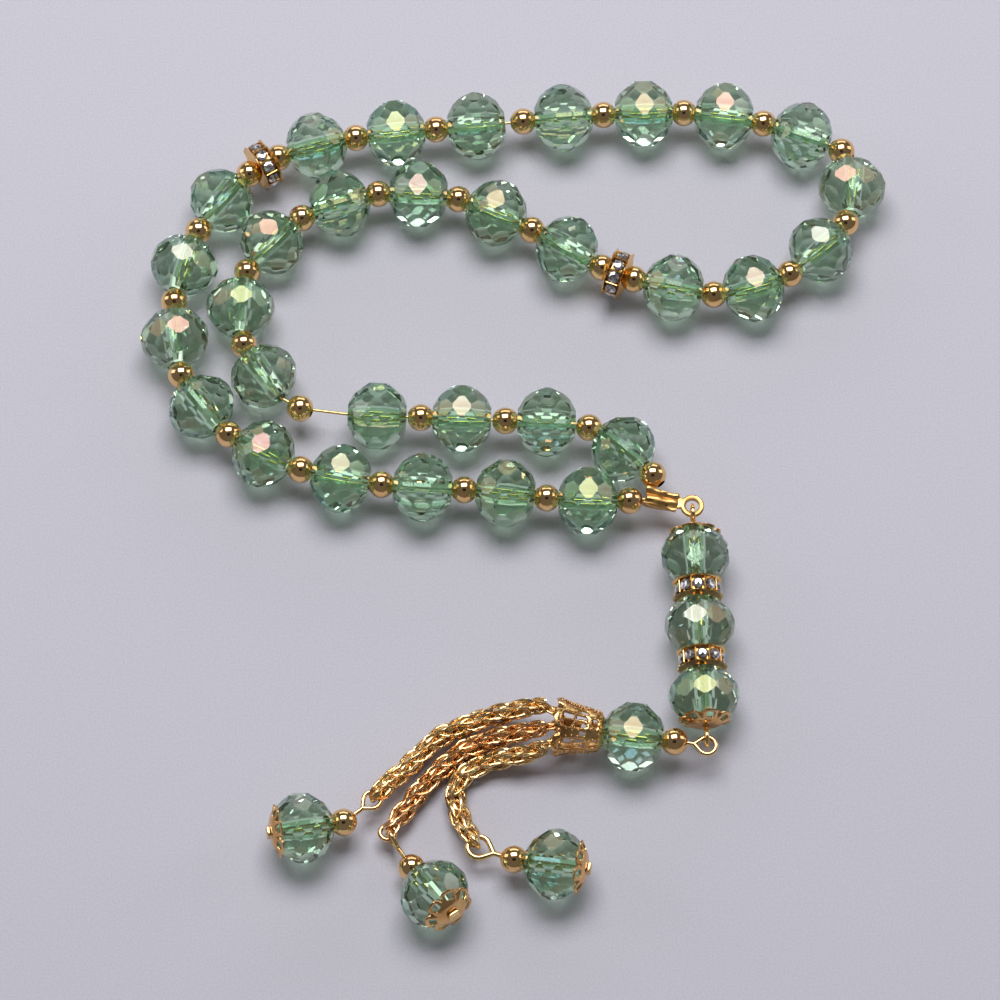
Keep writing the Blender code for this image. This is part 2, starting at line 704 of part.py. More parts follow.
def add_chain(name, points, ring_heading, ring_flat, bell_pivot):
    """A rope chain as a rod along its route, with the ring that its drop hangs from."""
    route = [Vector(point) * MM for point in points]
    radii = list(CHAIN_RADII) + [CHAIN_RADII[-1]] * (len(points) - len(CHAIN_RADII) - 1) + [0.8]
    rod = tube_mesh("rod", route, MM, resolution=2, radii=radii)
    radius, wire = END_RING
    last = route[-1]
    along = (last - route[-2]).normalized()
    ring_way = heading(math.radians(ring_heading))
    middle = last + Vector((along.x, along.y, 0.0)).normalized() * 0.95 * MM
    hinge = middle + ring_way * radius
    other = ring_way.cross(UP) if ring_flat else UP
    points = [middle + (ring_way * math.cos(turn) + other * math.sin(turn)) * radius
              for turn in [math.pi * k / 8 for k in range(16)]]
    ring = tube_mesh("ring", points, wire, closed=True, resolution=1)
    mesh = with_boolean(rod, f"chain_{name}", [(ring, Matrix.Identity(4))], "UNION")
    mesh.materials.clear()
    pivot = add_pivot(f"chain_{name}_pivot", route[1])
    hang_on(pivot, bell_pivot)
    hang_on(add_object(f"chain_{name}", smooth(mesh), CHAIN_GOLD), pivot)
    return pivot, hinge


def add_drop(name, hinge, chain_pivot):
    """A headed pin with an eye, a ball, a glass bead and a flower cap."""
    _, eye_angle, pin_angle, rise, upright = DROPS[name]
    eye_way = heading(math.radians(eye_angle))
    rise = math.radians(rise)
    pin_way = heading(math.radians(pin_angle), rise)
    step = BALL_RADIUS + FIT_GAP + CRYSTAL_LENGTH / 2
    rest_height = FLAT_RADIUS * math.cos(rise) + FLAT_HALF_HEIGHT * math.sin(rise)
    ball = hinge + eye_way * DROP_BALL_START
    ball.z = rest_height - step * math.sin(rise)
    crystal = ball + pin_way * step
    into_ball = (ball - hinge).normalized()
    plane = into_ball.cross(UP).normalized() if upright else UP
    eye_in_plane = into_ball if upright else eye_way
    eye = teardrop(hinge, eye_in_plane, plane, EYE_RADIUS, EYE_LENGTH)
    shafts = [(hinge + eye_in_plane * 2.1 * MM, ball),
              (ball + pin_way * 0.4 * MM, crystal + pin_way * (HEAD_START + 0.1 * MM))]
    pin = pin_mesh(f"drop_{name}_pin", [eye], shafts, [(ball, pin_way)],
                   [(crystal + pin_way * HEAD_START, pin_way)])
    pivot = add_pivot(f"drop_{name}_pivot", hinge)
    hang_on(pivot, chain_pivot)
    for piece in (add_object(f"drop_{name}_pin", pin, GOLD),
                  add_crystal(f"drop_{name}_crystal", crystal, pin_way),
                  add_cap(f"drop_{name}_cap", crystal, pin_way)):
        hang_on(piece, pivot)


def build_pendant():
    bar_pivot, link_hinge = build_bar()
    link_pivot, mouth = build_link(bar_pivot, link_hinge)
    for name, points in CHAINS.items():
        ring_heading, upright = DROPS[name][0], DROPS[name][4]
        chain_pivot, hinge = add_chain(name, points, ring_heading, upright, link_pivot)
        add_drop(name, hinge, chain_pivot)


build_loop()
build_clamp()
build_pendant()
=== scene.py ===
# %% [markdown]
# # A string of prayer beads on a table
#
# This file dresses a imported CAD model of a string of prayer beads. The model gives the
# places of all pieces and says how they move. Each step below adds one kind of piece or
# one finish. Blender counts in metres, and most sizes here are written in millimetres
# and multiplied by MM. One glass bead is 8 mm across.

import json
import math

import bmesh
import bpy
from mathutils import Matrix, Vector

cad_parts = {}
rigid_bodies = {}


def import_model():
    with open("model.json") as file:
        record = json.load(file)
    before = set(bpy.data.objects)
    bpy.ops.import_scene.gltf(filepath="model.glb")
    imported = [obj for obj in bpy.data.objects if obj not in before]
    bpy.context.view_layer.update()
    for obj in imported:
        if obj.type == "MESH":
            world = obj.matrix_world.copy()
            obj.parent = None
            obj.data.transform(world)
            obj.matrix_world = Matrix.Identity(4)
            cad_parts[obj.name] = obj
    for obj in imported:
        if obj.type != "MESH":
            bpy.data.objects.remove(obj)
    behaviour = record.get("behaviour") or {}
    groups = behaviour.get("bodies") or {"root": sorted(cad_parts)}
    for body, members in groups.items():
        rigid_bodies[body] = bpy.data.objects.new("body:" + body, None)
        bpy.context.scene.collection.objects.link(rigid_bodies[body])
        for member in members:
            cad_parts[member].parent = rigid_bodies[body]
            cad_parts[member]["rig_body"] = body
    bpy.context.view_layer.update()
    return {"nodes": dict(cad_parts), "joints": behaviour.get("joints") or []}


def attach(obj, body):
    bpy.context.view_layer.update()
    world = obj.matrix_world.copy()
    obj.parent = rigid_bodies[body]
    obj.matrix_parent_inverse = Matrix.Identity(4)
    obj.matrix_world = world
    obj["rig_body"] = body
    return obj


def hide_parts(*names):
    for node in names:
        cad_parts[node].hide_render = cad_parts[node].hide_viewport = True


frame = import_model()
bpy.ops.object.select_all(action="DESELECT")

MM = 0.001
UP = Vector((0.0, 0.0, 1.0))
JOINTS = {joint["name"]: joint for joint in frame["joints"]}
NODES = frame["nodes"]

# %% [markdown]
# ## Camera
#
# A long lens far away keeps a small object nearly free of perspective. It looks down
# steeply from the pendant's side, so that the ring of beads is seen nearly whole and
# the height of the beads still shows.

# %% Camera
LOOK_AT = Vector((-1.66, -1.0, 3.6)) * MM
ELEVATION = math.radians(67.0)
CAMERA_AWAY = 0.635
camera_way = Vector((0.0, -math.cos(ELEVATION), math.sin(ELEVATION)))

bpy.ops.object.camera_add(location=LOOK_AT + camera_way * CAMERA_AWAY,
                          rotation=(math.pi / 2 - ELEVATION, 0.0, 0.0))
camera = bpy.context.object
camera.name = "camera"
camera.data.lens = 200.0
camera.data.sensor_width = 36.0
camera.data.clip_start = 0.05
bpy.context.scene.camera = camera
print("camera", CAMERA_AWAY, "m away")

# %% [markdown]
# ## Where the beads sit on the string
#
# On the real string the beads touch one another, so each one's place follows from the
# lengths of those before it. The same rule is used here: a smooth route is drawn through
# a few chosen points, and the beads are laid along it end to end. Placing each ball by
# hand would be simpler to read, but the balls would then not sit in the CAD's places.

# %% Sizes and the route
BALL_RADIUS = 1.45 * MM
CRYSTAL_LENGTH = 6.3 * MM
WIRE_HEIGHT = 4.0 * math.cos(math.pi / 7) * MM  # a seven-sided bead rests on one of its flats
PIN_RADIUS = 0.27 * MM
LOOP_ROUTE = (
    (16.8, 1.0), (15.8, 2.0), (12.5, 5.95), (8.4, 8.2), (7.0, 8.6), (3.5, 8.7), (-6.0, 9.1),
    (-15.5, 9.5), (-19.2, 9.7), (-25.0, 10.4), (-30.0, 15.6), (-32.3, 24.0), (-28.2, 32.2),
    (-20.2, 36.9), (-10.6, 38.2), (-1.5, 35.2), (6.3, 30.6), (11.6, 27.7), (18.2, 25.8),
    (27.4, 25.0), (35.5, 30.3), (38.8, 34.0), (39.6, 38.5), (39.2, 43.4), (34.9, 45.0),
    (26.0, 48.1), (16.5, 48.5), (7.0, 48.0), (-3.4, 46.9), (-13.3, 45.9), (-22.9, 44.5),
    (-28.9, 42.0), (-33.9, 37.8), (-38.2, 30.0), (-39.6, 20.5), (-37.0, 11.4), (-29.6, 5.0),
    (-20.3, 1.6), (-10.6, 0.6), (-1.0, -0.1), (8.6, -1.4), (13.5, -1.0), (15.0, -0.8),
)
SEGMENTS = (11, 11, 9)  # glass beads from the clamp to the first divider, and so on round
LENGTHS = {"ball": 2 * BALL_RADIUS, "crystal": CRYSTAL_LENGTH, "divider": 0.8 * MM}
# Bare wire after some beads, counted along the string.
SLACK = {2: 0.25 * MM, 4: 0.25 * MM, 6: 0.25 * MM, 7: 4.3 * MM, 8: 1.3 * MM, 31: 0.5 * MM,
         32: 0.4 * MM, 40: 0.8 * MM}
ROUTE_STEP = 0.4 * MM
MOST_PLAY = 0.5 * MM  # more than any play between two beads
PLAY_STEPS = 24  # halvings while the play between the beads is found
print(len(LOOP_ROUTE), "points lead the string")


# %% A smooth route and steps along it
def smooth_route(points, step):
    """Points close together on a smooth curve through the given ones."""
    placed = [Vector(point) for point in points]
    ends = [placed[0] * 2 - placed[1]] + placed + [placed[-1] * 2 - placed[-2]]
    route = []
    for before, start, stop, after in zip(ends, ends[1:], ends[2:], ends[3:]):
        count = max(2, round((stop - start).length / step))
        leave, arrive = (stop - before) / 2, (after - start) / 2
        for index in range(count):
            t = index / count
            route.append(start * (2 * t ** 3 - 3 * t ** 2 + 1) + leave * (t ** 3 - 2 * t ** 2 + t)
                         + stop * (3 * t ** 2 - 2 * t ** 3) + arrive * (t ** 3 - t ** 2))
    return route + [placed[-1]]


def walk_chord(route, start, first, length):
    """The point on the route this far from start in a straight line, and the index after it."""
    index = first
    while index < len(route) and (route[index] - start).length < length:
        index += 1
    if index == len(route):
        return start + (route[-1] - route[-2]).normalized() * length, index
    inside, outside = (route[index - 1] if index > first else start), route[index]
    low, high = 0.0, 1.0
    for _ in range(30):
        middle = (low + high) / 2
        if (inside.lerp(outside, middle) - start).length < length:
            low = middle
        else:
            high = middle
    return inside.lerp(outside, low), index


# %% Thread the beads
def thread(route, play):
    """Each bead as (kind, start, stop) along the route, and the length left over."""
    order = ["ball"]
    for segment, count in enumerate(SEGMENTS):
        order += ["crystal", "ball"] * count
        order += ["divider", "ball"] if segment < len(SEGMENTS) - 1 else []
    placed, point, index = [], route[0], 1
    for number, kind in enumerate(order):
        stop, index = walk_chord(route, point, index, LENGTHS[kind])
        placed.append((kind, point, stop))
        point, index = walk_chord(route, stop, index, play + SLACK.get(number, 0.0))
    left = 0.0 if index < len(route) else (point - route[-1]).length
    short = sum((b - a).length for a, b in zip(route[index:], route[index + 1:]))
    return placed, short - left


loop_line = smooth_route([Vector((x, y, 0.0)) * MM + UP * WIRE_HEIGHT for x, y in LOOP_ROUTE],
                         ROUTE_STEP)
least, most = 0.0, MOST_PLAY
for _ in range(PLAY_STEPS):
    trial = (least + most) / 2
    if thread(loop_line, trial)[1] > 0.0:
        least = trial
    else:
        most = trial
beads, _ = thread(loop_line, least)
print(len(beads), "beads on the string with", round(least / MM, 3), "mm of play")

# %% [markdown]
# ## The string
#
# The beads hang on one soft, thin wire. It shows bare only beside the free ball, and
# elsewhere it glints through the glass. A curve with a round bevel is the natural way to
# draw a wire, because its line stays a line that can be measured. It runs straight
# through each glass bead and bends inside the balls, where nobody sees the corner.

# %% Helpers for node materials
def new_finish(name, colour, metallic=0.0, roughness=0.3, **sockets):
    """A Principled material. Further sockets are named with underscores for spaces."""
    made = bpy.data.materials.new(name)
    made.use_nodes = True
    shader = made.node_tree.nodes["Principled BSDF"]
    shader.inputs["Base Color"].default_value = (*colour, 1.0)
    shader.inputs["Metallic"].default_value = metallic
    shader.inputs["Roughness"].default_value = roughness
    for key, value in sockets.items():
        shader.inputs[key.replace("_", " ")].default_value = value
    return made


def grain(finish, scale, detail=3.0):
    """A noise over the piece's own coordinates. It gives the socket of its grey value."""
    nodes, links = finish.node_tree.nodes, finish.node_tree.links
    place = nodes.new("ShaderNodeTexCoord")
    noise = nodes.new("ShaderNodeTexNoise")
    noise.inputs["Scale"].default_value = scale
    noise.inputs["Detail"].default_value = detail
    links.new(place.outputs["Object"], noise.inputs["Vector"])
    return noise.outputs["Fac"]


def tint(finish, grey, low, high):
    """Blends the base colour from low to high with the noise."""
    nodes, links = finish.node_tree.nodes, finish.node_tree.links
    ramp = nodes.new("ShaderNodeValToRGB")
    ramp.color_ramp.elements[0].position = 0.35
    ramp.color_ramp.elements[1].position = 0.65
    ramp.color_ramp.elements[0].color = (*low, 1.0)
    ramp.color_ramp.elements[1].color = (*high, 1.0)
    links.new(grey, ramp.inputs["Fac"])
    links.new(ramp.outputs["Color"], nodes["Principled BSDF"].inputs["Base Color"])


def wear(finish, grey, low, high):
    """Makes the roughness run from low to high with the noise."""
    nodes, links = finish.node_tree.nodes, finish.node_tree.links
    spread = nodes.new("ShaderNodeMapRange")
    spread.inputs["From Min"].default_value = 0.35
    spread.inputs["From Max"].default_value = 0.65
    spread.inputs["To Min"].default_value = low
    spread.inputs["To Max"].default_value = high
    links.new(grey, spread.inputs["Value"])
    links.new(spread.outputs["Result"], nodes["Principled BSDF"].inputs["Roughness"])


def dent(finish, grey, height):
    """Lets the noise stand out from the surface by this height."""
    nodes, links = finish.node_tree.nodes, finish.node_tree.links
    bump = nodes.new("ShaderNodeBump")
    bump.inputs["Distance"].default_value = height
    links.new(grey, bump.inputs["Height"])
    links.new(bump.outputs["Normal"], nodes["Principled BSDF"].inputs["Normal"])


def gold_finish(name, dark, light, roughness, dents=0.0):
    """Plated gold: two near shades, a little wear, and dents where it was worked by hand."""
    finish = new_finish(name, light, 1.0, roughness)
    tint(finish, grain(finish, 450.0), dark, light)
    wear(finish, grain(finish, 1400.0), roughness * 0.7, roughness * 1.4)
    if dents:
        dent(finish, grain(finish, 1800.0, 4.0), dents)
    return finish


wire_gold = gold_finish("wire_gold", (0.78, 0.55, 0.22), (0.9, 0.68, 0.32), 0.16)
print("wire finish is mixed")


# %% Draw a wire
def bend_wire(name, points, radius, closed=False, roundness=3):
    """A wire through these points, as a curve with a round bevel and filled caps where it is open.
    """
    bpy.ops.curve.primitive_bezier_curve_add(location=(0.0, 0.0, 0.0))
    wire = bpy.context.object
    wire.name = name
    line = wire.data
    line.splines.clear()
    spline = line.splines.new("POLY")
    spline.points.add(len(points) - 1)
    spline.use_cyclic_u = closed
    for item, point in zip(spline.points, points):
        item.co = (*point, 1.0)
    line.dimensions = "3D"
    line.bevel_depth = radius
    line.bevel_resolution = roundness
    line.use_fill_caps = not closed
    return wire


# The clamp's place: the wire starts and ends in its open end.
CLAMP_SIZE = Vector((3.2, 2.2, 1.5)) * MM
clamp_place = (Matrix.Translation(Vector((17.2, -1.0, 0.0)) * MM + UP * WIRE_HEIGHT)
               @ Matrix.Rotation(math.radians(-14.0), 4, "Z"))
CORNER = 0.45 * MM  # how far from a ball's centre the wire starts to bend


def string_points():
    """The wire's line from the clamp's mouth round the loop and back to it."""
    mouth, inside, aside = -CLAMP_SIZE.x / 2 - 0.3 * MM, -0.3 * MM, 0.34 * MM
    line = [clamp_place @ Vector((x, aside, 0.0)) for x in (inside, mouth)]
    for kind, start, stop in beads:
        line += [(start + stop) / 2] if kind == "ball" else [start, stop]
    line += [clamp_place @ Vector((x, -aside, 0.0)) for x in (mouth, inside)]
    softened = [line[0]]
    for before, corner, after in zip(line, line[1:], line[2:]):
        back, ahead = before - corner, after - corner
        reach_back, reach_on = min(CORNER, back.length / 3), min(CORNER, ahead.length / 3)
        leave, arrive = back.normalized() * reach_back, ahead.normalized() * reach_on
        softened += [corner + leave, corner + (leave + arrive) * 0.25, corner + arrive]
    return softened + [line[-1]]


STRING_RADIUS = 0.17 * MM
string_line = string_points()
string_wire = bend_wire("string_wire", string_line, STRING_RADIUS)
string_wire.data.materials.append(wire_gold)

# %% [markdown]
# ## Table and light
#
# The table is a pale, faintly lilac sheet. One soft box hangs nearly overhead, a little
# behind the beads. It makes the white windows on the glass and the balls and throws the
# shadows towards the viewer. A pale room fills in the rest, and a dark card behind the
# camera gives each ball its small dark heart.

# %% Table
TABLE_DROP = 0.35 * MM  # a ten-sided bead reaches a little lower than its plain solid
bpy.ops.mesh.primitive_plane_add(size=3.0, location=(0.0, 0.0, -TABLE_DROP))
table = bpy.context.object
table.name = "table"
table_finish = new_finish("table_finish", (0.62, 0.605, 0.68), 0.0, 0.65)
tint(table_finish, grain(table_finish, 4200.0, 6.0), (0.58, 0.565, 0.645), (0.645, 0.63, 0.71))
table.data.materials.append(table_finish)
bpy.ops.object.select_all(action="DESELECT")
print("table is laid")


# %% Lights and the dark card
def add_panel(name, place, size, watts):
    """A rectangular soft panel that faces the beads."""
    bpy.ops.object.light_add(type="AREA", location=place)
    panel = bpy.context.object
    panel.name = name
    panel.data.shape = "RECTANGLE"
    panel.data.size, panel.data.size_y = size
    panel.data.energy = watts
    panel.rotation_euler = (-Vector(place)).to_track_quat("-Z", "Y").to_euler()


add_panel("soft_box", (-0.02, 0.22, 0.56), (0.46, 0.30), 2.85)
add_panel("left_panel", (-0.75, 0.25, 0.30), (0.3, 0.5), 0.65)
add_panel("right_panel", (0.75, 0.30, 0.30), (0.3, 0.5), 0.65)
add_panel("back_panel", (0.0, 0.9, 0.28), (0.9, 0.3), 1.2)

CARD_AWAY = 0.72
bpy.ops.mesh.primitive_plane_add(size=1.0, location=LOOK_AT + camera_way * CARD_AWAY,
                                 rotation=(math.pi / 2 - ELEVATION, 0.0, 0.0))
card = bpy.context.object
card.name = "dark_card"
card.scale = (0.36, 0.28, 1.0)
card.visible_camera = False  # it darkens reflections only, and never stands in a view
card.data.materials.append(new_finish("black_paper", (0.02, 0.018, 0.016), 0.0, 0.9))

room = bpy.data.worlds.new("room")
bpy.context.scene.world = room
room.use_nodes = True
room.node_tree.nodes["Background"].inputs["Color"].default_value = (0.97, 0.975, 1.0, 1.0)
room.node_tree.nodes["Background"].inputs["Strength"].default_value = 0.14
bpy.context.scene.view_settings.view_transform = "Standard"
bpy.ops.object.select_all(action="DESELECT")
print("lights and card are hung")

# %% [markdown]
# ## Metal balls
#
# Small hollow balls of plated brass sit between the glass beads. A sphere is opened at
# both poles, and the two rims are bridged, which leaves a drilled ball. It is modelled
# once, and each copy gets its own mesh.

# %% Edit-mode helpers
def name_new(name):
    """Names the object that an operator has just added, and lays its place into its mesh."""
    obj = bpy.context.object
    obj.name = name
    obj.data.name = name
    bpy.ops.object.transform_apply(location=True, rotation=True, scale=True)
    return obj


def pick(obj, test, kind="verts"):
    """In edit mode, selects the vertices or faces whose place passes the test."""
    bpy.ops.mesh.select_mode(type="FACE" if kind == "faces" else "VERT")
    bpy.ops.mesh.select_all(action="DESELECT")
    cage = bmesh.from_edit_mesh(obj.data)
    for item in getattr(cage, kind):
        if test(item.calc_center_median() if kind == "faces" else item.co):
            item.select_set(True)
    cage.select_flush_mode()
    bmesh.update_edit_mesh(obj.data)


def apply_modifier(obj, kind, **settings):
    step = obj.modifiers.new("step", kind)
    for key, value in settings.items():
        setattr(step, key, value)
    bpy.ops.object.modifier_apply(modifier=step.name)


WELD = 0.002 * MM  # corners closer than this become one


def finish_mesh(obj, finish, angle=35.0):
    """Welds, turns the faces outward, leaves edit mode, shades and gives the finish."""
    if obj.mode != "EDIT":
        bpy.ops.object.mode_set(mode="EDIT")
    bpy.ops.mesh.select_all(action="SELECT")
    bpy.ops.mesh.remove_doubles(threshold=WELD)
    bpy.ops.mesh.normals_make_consistent(inside=False)
    bpy.ops.object.mode_set(mode="OBJECT")
    bpy.ops.object.shade_smooth_by_angle(angle=math.radians(angle))
    if finish:
        obj.data.materials.clear()
        obj.data.materials.append(finish)
    return obj


def resize_round(factor):
    """In edit mode, scales what is selected towards or away from the Z axis."""
    bpy.ops.transform.resize(value=(factor, factor, 1.0), center_override=(0.0, 0.0, 0.0))


def radial(place):
    return math.hypot(place.x, place.y)


# %% One drilled ball
BALL_FULLNESS = 1.07  # the ball shown here against the plainer CAD ball
BORE_RADIUS = 0.43 * MM


def drilled_ball():
    bpy.ops.mesh.primitive_uv_sphere_add(segments=32, ring_count=18,
                                         radius=BALL_FULLNESS * BALL_RADIUS)
    ball = name_new("drilled_ball")
    bpy.ops.object.mode_set(mode="EDIT")
    pick(ball, lambda place: radial(place) < BORE_RADIUS, "faces")
    bpy.ops.mesh.delete(type="FACE")
    bpy.ops.mesh.select_mode(type="EDGE")
    bpy.ops.mesh.select_non_manifold()
    bpy.ops.mesh.bridge_edge_loops()
    return finish_mesh(ball, ball_gold)


ball_gold = gold_finish("ball_gold", (0.88, 0.54, 0.23), (0.96, 0.65, 0.31), 0.08)
ball_pattern = drilled_ball()
print("ball has", len(ball_pattern.data.polygons), "faces")


# %% Place copies of a pattern
def turned_to(axis):
    """The rotation that takes Z to this axis, with Y kept as nearly upright as it can be."""
    z = axis.normalized()
    y = (UP - z * UP.dot(z)).normalized()
    x = y.cross(z)
    return Matrix((x, y, z)).transposed().to_4x4()


def at(place, axis):
    return Matrix.Translation(place) @ turned_to(axis)


def stamp(pattern, name, matrix):
    """A copy of the pattern with its own mesh, put in place in that mesh."""
    copy = pattern.copy()
    copy.data = pattern.data.copy()
    copy.name = name
    copy.data.name = name
    copy.data.transform(matrix)
    bpy.context.scene.collection.objects.link(copy)
    return copy


def join(name, pieces):
    """Makes one object of these."""
    bpy.ops.object.select_all(action="DESELECT")
    for piece in pieces:
        piece.select_set(True)
    bpy.context.view_layer.objects.active = pieces[0]
    if len(pieces) > 1:
        bpy.ops.object.join()
    whole = bpy.context.object
    whole.name = name
    whole.data.name = name
    bpy.ops.object.select_all(action="DESELECT")
    return whole


def dress(piece, slot, *nodes):
    """The piece takes the place of these CAD nodes and moves with their body."""
    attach(piece, NODES[nodes[0]]["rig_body"])
    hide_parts(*nodes)
    return piece


# %% Balls on the string
ROW = range(3, 8)  # the beads that slide as one row beside the gap
fixed_balls, row_balls = [], []
for number, (kind, start, stop) in enumerate(beads):
    if kind == "ball":
        copy = stamp(ball_pattern, "ball", at((start + stop) / 2, stop - start))
        (row_balls if number in ROW else fixed_balls).append(copy)
fixed_count = len(fixed_balls)
string_balls = join("string_balls", fixed_balls)
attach(string_balls, "string_and_clamp")
for number, ball in enumerate(row_balls):
    ball.name = f"sliding_ball_{number + 1}"
    dress(ball, "gold", f"row_ball_{number + 1}")
print(fixed_count, "balls stay on the string, and", len(row_balls), "slide")

dress(string_wire, "gold", "string_wire_with_balls")

# %% [markdown]
# ## Green glass beads
#
# The beads are cut from clear, pale green glass with a thin rainbow coat. A turned blank
# is ground flat on one plane after another, as on a cutter's wheel: ten flats round
# the middle, and three rings of slanted facets on each side, each ring half a step round
# from the last. The grinding is a bisect that throws the outer part away and fills the
# cut. A thin film on the shader gives the lilac, blue and straw-coloured facets, and a
# few films of different thickness make neighbours differ, as on a real string.

# %% Glass finishes
FILMS = (90.0, 120.0, 253.0, 290.0, 430.0)  # nanometres


def glass_finish(name, film):
    finish = new_finish(name, (0.62, 0.87, 0.64), 0.0, 0.02, Transmission_Weight=0.96, IOR=1.52,
                        Thin_Film_Thickness=film, Thin_Film_IOR=1.72)
    tint(finish, grain(finish, 220.0, 1.0), (0.55, 0.80, 0.57), (0.67, 0.87, 0.67))
    wear(finish, grain(finish, 900.0), 0.0, 0.03)
    return finish


glasses = [glass_finish(f"green_glass_{number + 1}", film) for number, film in enumerate(FILMS)]
print(len(glasses), "coats of glass")

# %% Grind one bead
FACETS = 10
GLASS_LENGTH = 6.7 * MM
BLANK_RADIUS = 4.4 * MM
END_BORDER = 0.6 * MM  # flat glass left round the bore at each end
CORNER_AWAY = 4.0 * MM
FLAT_AWAY = CORNER_AWAY * math.cos(math.pi / FACETS)
# Each ring of facets: degrees of lean, half steps round, and a point it passes through
# as (distance from the bore, height along it).
FACET_RINGS = ((22.0, 1, CORNER_AWAY, 0.3 * MM), (38.0, 0, FLAT_AWAY, 1.05 * MM),
               (60.0, 1, 3.2 * MM, 2.3 * MM))


def grind(way, lean, away, height):
    """Takes off what stands beyond a facet. Lean is from the flat way towards the bore."""
    normal = way * math.cos(lean) + UP * math.sin(lean)
    bpy.ops.mesh.select_all(action="SELECT")
    bpy.ops.mesh.bisect(plane_co=way * away + UP * height, plane_no=normal, use_fill=True,
                        clear_outer=True, threshold=0.0005 * MM)


def cut_bead():
    bpy.ops.mesh.primitive_cylinder_add(vertices=4 * FACETS, radius=BLANK_RADIUS,
                                        depth=GLASS_LENGTH)
    bead = name_new("cut_bead")
    bpy.ops.object.mode_set(mode="EDIT")
    for step in range(FACETS):
        flat_angle = 2 * math.pi * step / FACETS - math.pi / 2
        grind(Vector((math.cos(flat_angle), math.sin(flat_angle), 0.0)), 0.0, FLAT_AWAY, 0.0)
        for lean, half_steps, away, height in FACET_RINGS:
            angle = flat_angle + half_steps * math.pi / FACETS
            way = Vector((math.cos(angle), math.sin(angle), 0.0))
            for side in (-1, 1):
                grind(way, math.radians(lean) * side, away, height * side)
    pick(bead, lambda place: abs(place.z) > GLASS_LENGTH / 2 - 0.01 * MM, "faces")
    bpy.ops.mesh.inset(thickness=END_BORDER, use_individual=True)
    bpy.ops.mesh.delete(type="FACE")
    bpy.ops.mesh.select_mode(type="EDGE")
    bpy.ops.mesh.select_all(action="DESELECT")
    bpy.ops.mesh.select_non_manifold()
    bpy.ops.mesh.bridge_edge_loops()
    return finish_mesh(bead, None, 3.0)


bead_pattern = cut_bead()
print("glass bead has", len(bead_pattern.data.polygons), "faces")


# %% Set the glass beads
def crystal_at(name):
    """The middle and the bore's way of a glass bead or divider, from the joint it spins on."""
    joint = JOINTS["spin_" + name]
    return Vector(joint["pos_m"]), Vector(joint["axis"]).normalized()


SPIN_STEP = 4.6  # degrees: no two neighbours are turned alike on the wire
COATS = 3  # coats of glass on one bead, scattered over its facets
crystals = sorted(name for name in NODES if "crystal" in name)
for number, name in enumerate(crystals):
    turn_on = Matrix.Rotation(math.radians(SPIN_STEP * (number * 5 % 7 - 3)), 4, "Z")
    bead = stamp(bead_pattern, name + "_glass", at(*crystal_at(name)) @ turn_on)
    for step in range(COATS):
        bead.data.materials.append(glasses[(number + step * 2) % len(glasses)])
    for face in bead.data.polygons:
        face.material_index = (face.index * 5 + number) % 7 % COATS
    dress(bead, "glass", name)
print(len(crystals), "glass beads are set")

# %% [markdown]
# ## Stone-set dividers
#
# A divider is a small spool: two thin, flared rims of wavy gold sheet, and between them
# a belt of round, clear stones held by little bars. The rims are thrown like clay on a
# wheel, from one ring that is pulled up step by step, and every few corners are then
# pushed out for the wave. One stone and one bar are cut and copied round.

# %% Turn a ring on the wheel
def turn(name, profile, sides, closed=True):
    """Pulls a ring of corners through a profile of (radius, height). Ends in edit mode."""
    radius, height = profile[0]
    bpy.ops.mesh.primitive_circle_add(vertices=sides, radius=radius, location=(0.0, 0.0, height))
    obj = name_new(name)
    bpy.ops.object.mode_set(mode="EDIT")
    bpy.ops.mesh.select_mode(type="VERT")
    bpy.ops.mesh.select_all(action="SELECT")
    for new_radius, new_height in profile[1:] + (profile[:1] if closed else []):
        bpy.ops.mesh.extrude_region_move(
            TRANSFORM_OT_translate={"value": (0.0, 0.0, new_height - height)})
        grow = new_radius / radius
        bpy.ops.transform.resize(value=(grow, grow, 1.0), center_override=(0.0, 0.0, new_height))
        radius, height = new_radius, new_height
    if closed:
        bpy.ops.mesh.select_all(action="SELECT")
        bpy.ops.mesh.remove_doubles(threshold=WELD)
        bpy.ops.mesh.normals_make_consistent(inside=False)
    return obj


def millimetres(profile):
    return [(radius * MM, height * MM) for radius, height in profile]


def turn_about(place):
    return math.atan2(place.y, place.x) % (2 * math.pi)


# %% Divider rim
STONES = 10
RIM_SIDES = 60
RIM_SHEET = 0.13  # thickness in millimetres
WAVE_FROM = 2.5 * MM  # the sheet is wavy beyond this radius
WAVE_HEIGHT = 0.09 * MM
WAVE_SPREAD = 1.015
rim_gold = gold_finish("rim_gold", (0.74, 0.42, 0.13), (0.92, 0.62, 0.26), 0.18)


def wavy_rim():
    face = [(0.56, 0.40), (0.95, 0.44), (1.7, 0.60), (2.35, 0.82), (2.85, 1.0)]
    back = [(radius, height - RIM_SHEET) for radius, height in reversed(face)]
    rim = turn("rim", millimetres(face + back), RIM_SIDES)
    wave = 2 * math.pi / STONES
    pick(rim, lambda place: radial(place) > WAVE_FROM and turn_about(place) % wave < wave * 0.45)
    bpy.ops.transform.translate(value=(0.0, 0.0, WAVE_HEIGHT))
    resize_round(WAVE_SPREAD)
    bpy.ops.object.mode_set(mode="OBJECT")
    apply_modifier(rim, "SUBSURF", levels=1)
    return finish_mesh(rim, rim_gold)


rim_pattern = wavy_rim()
print("rim has", len(rim_pattern.data.polygons), "faces")

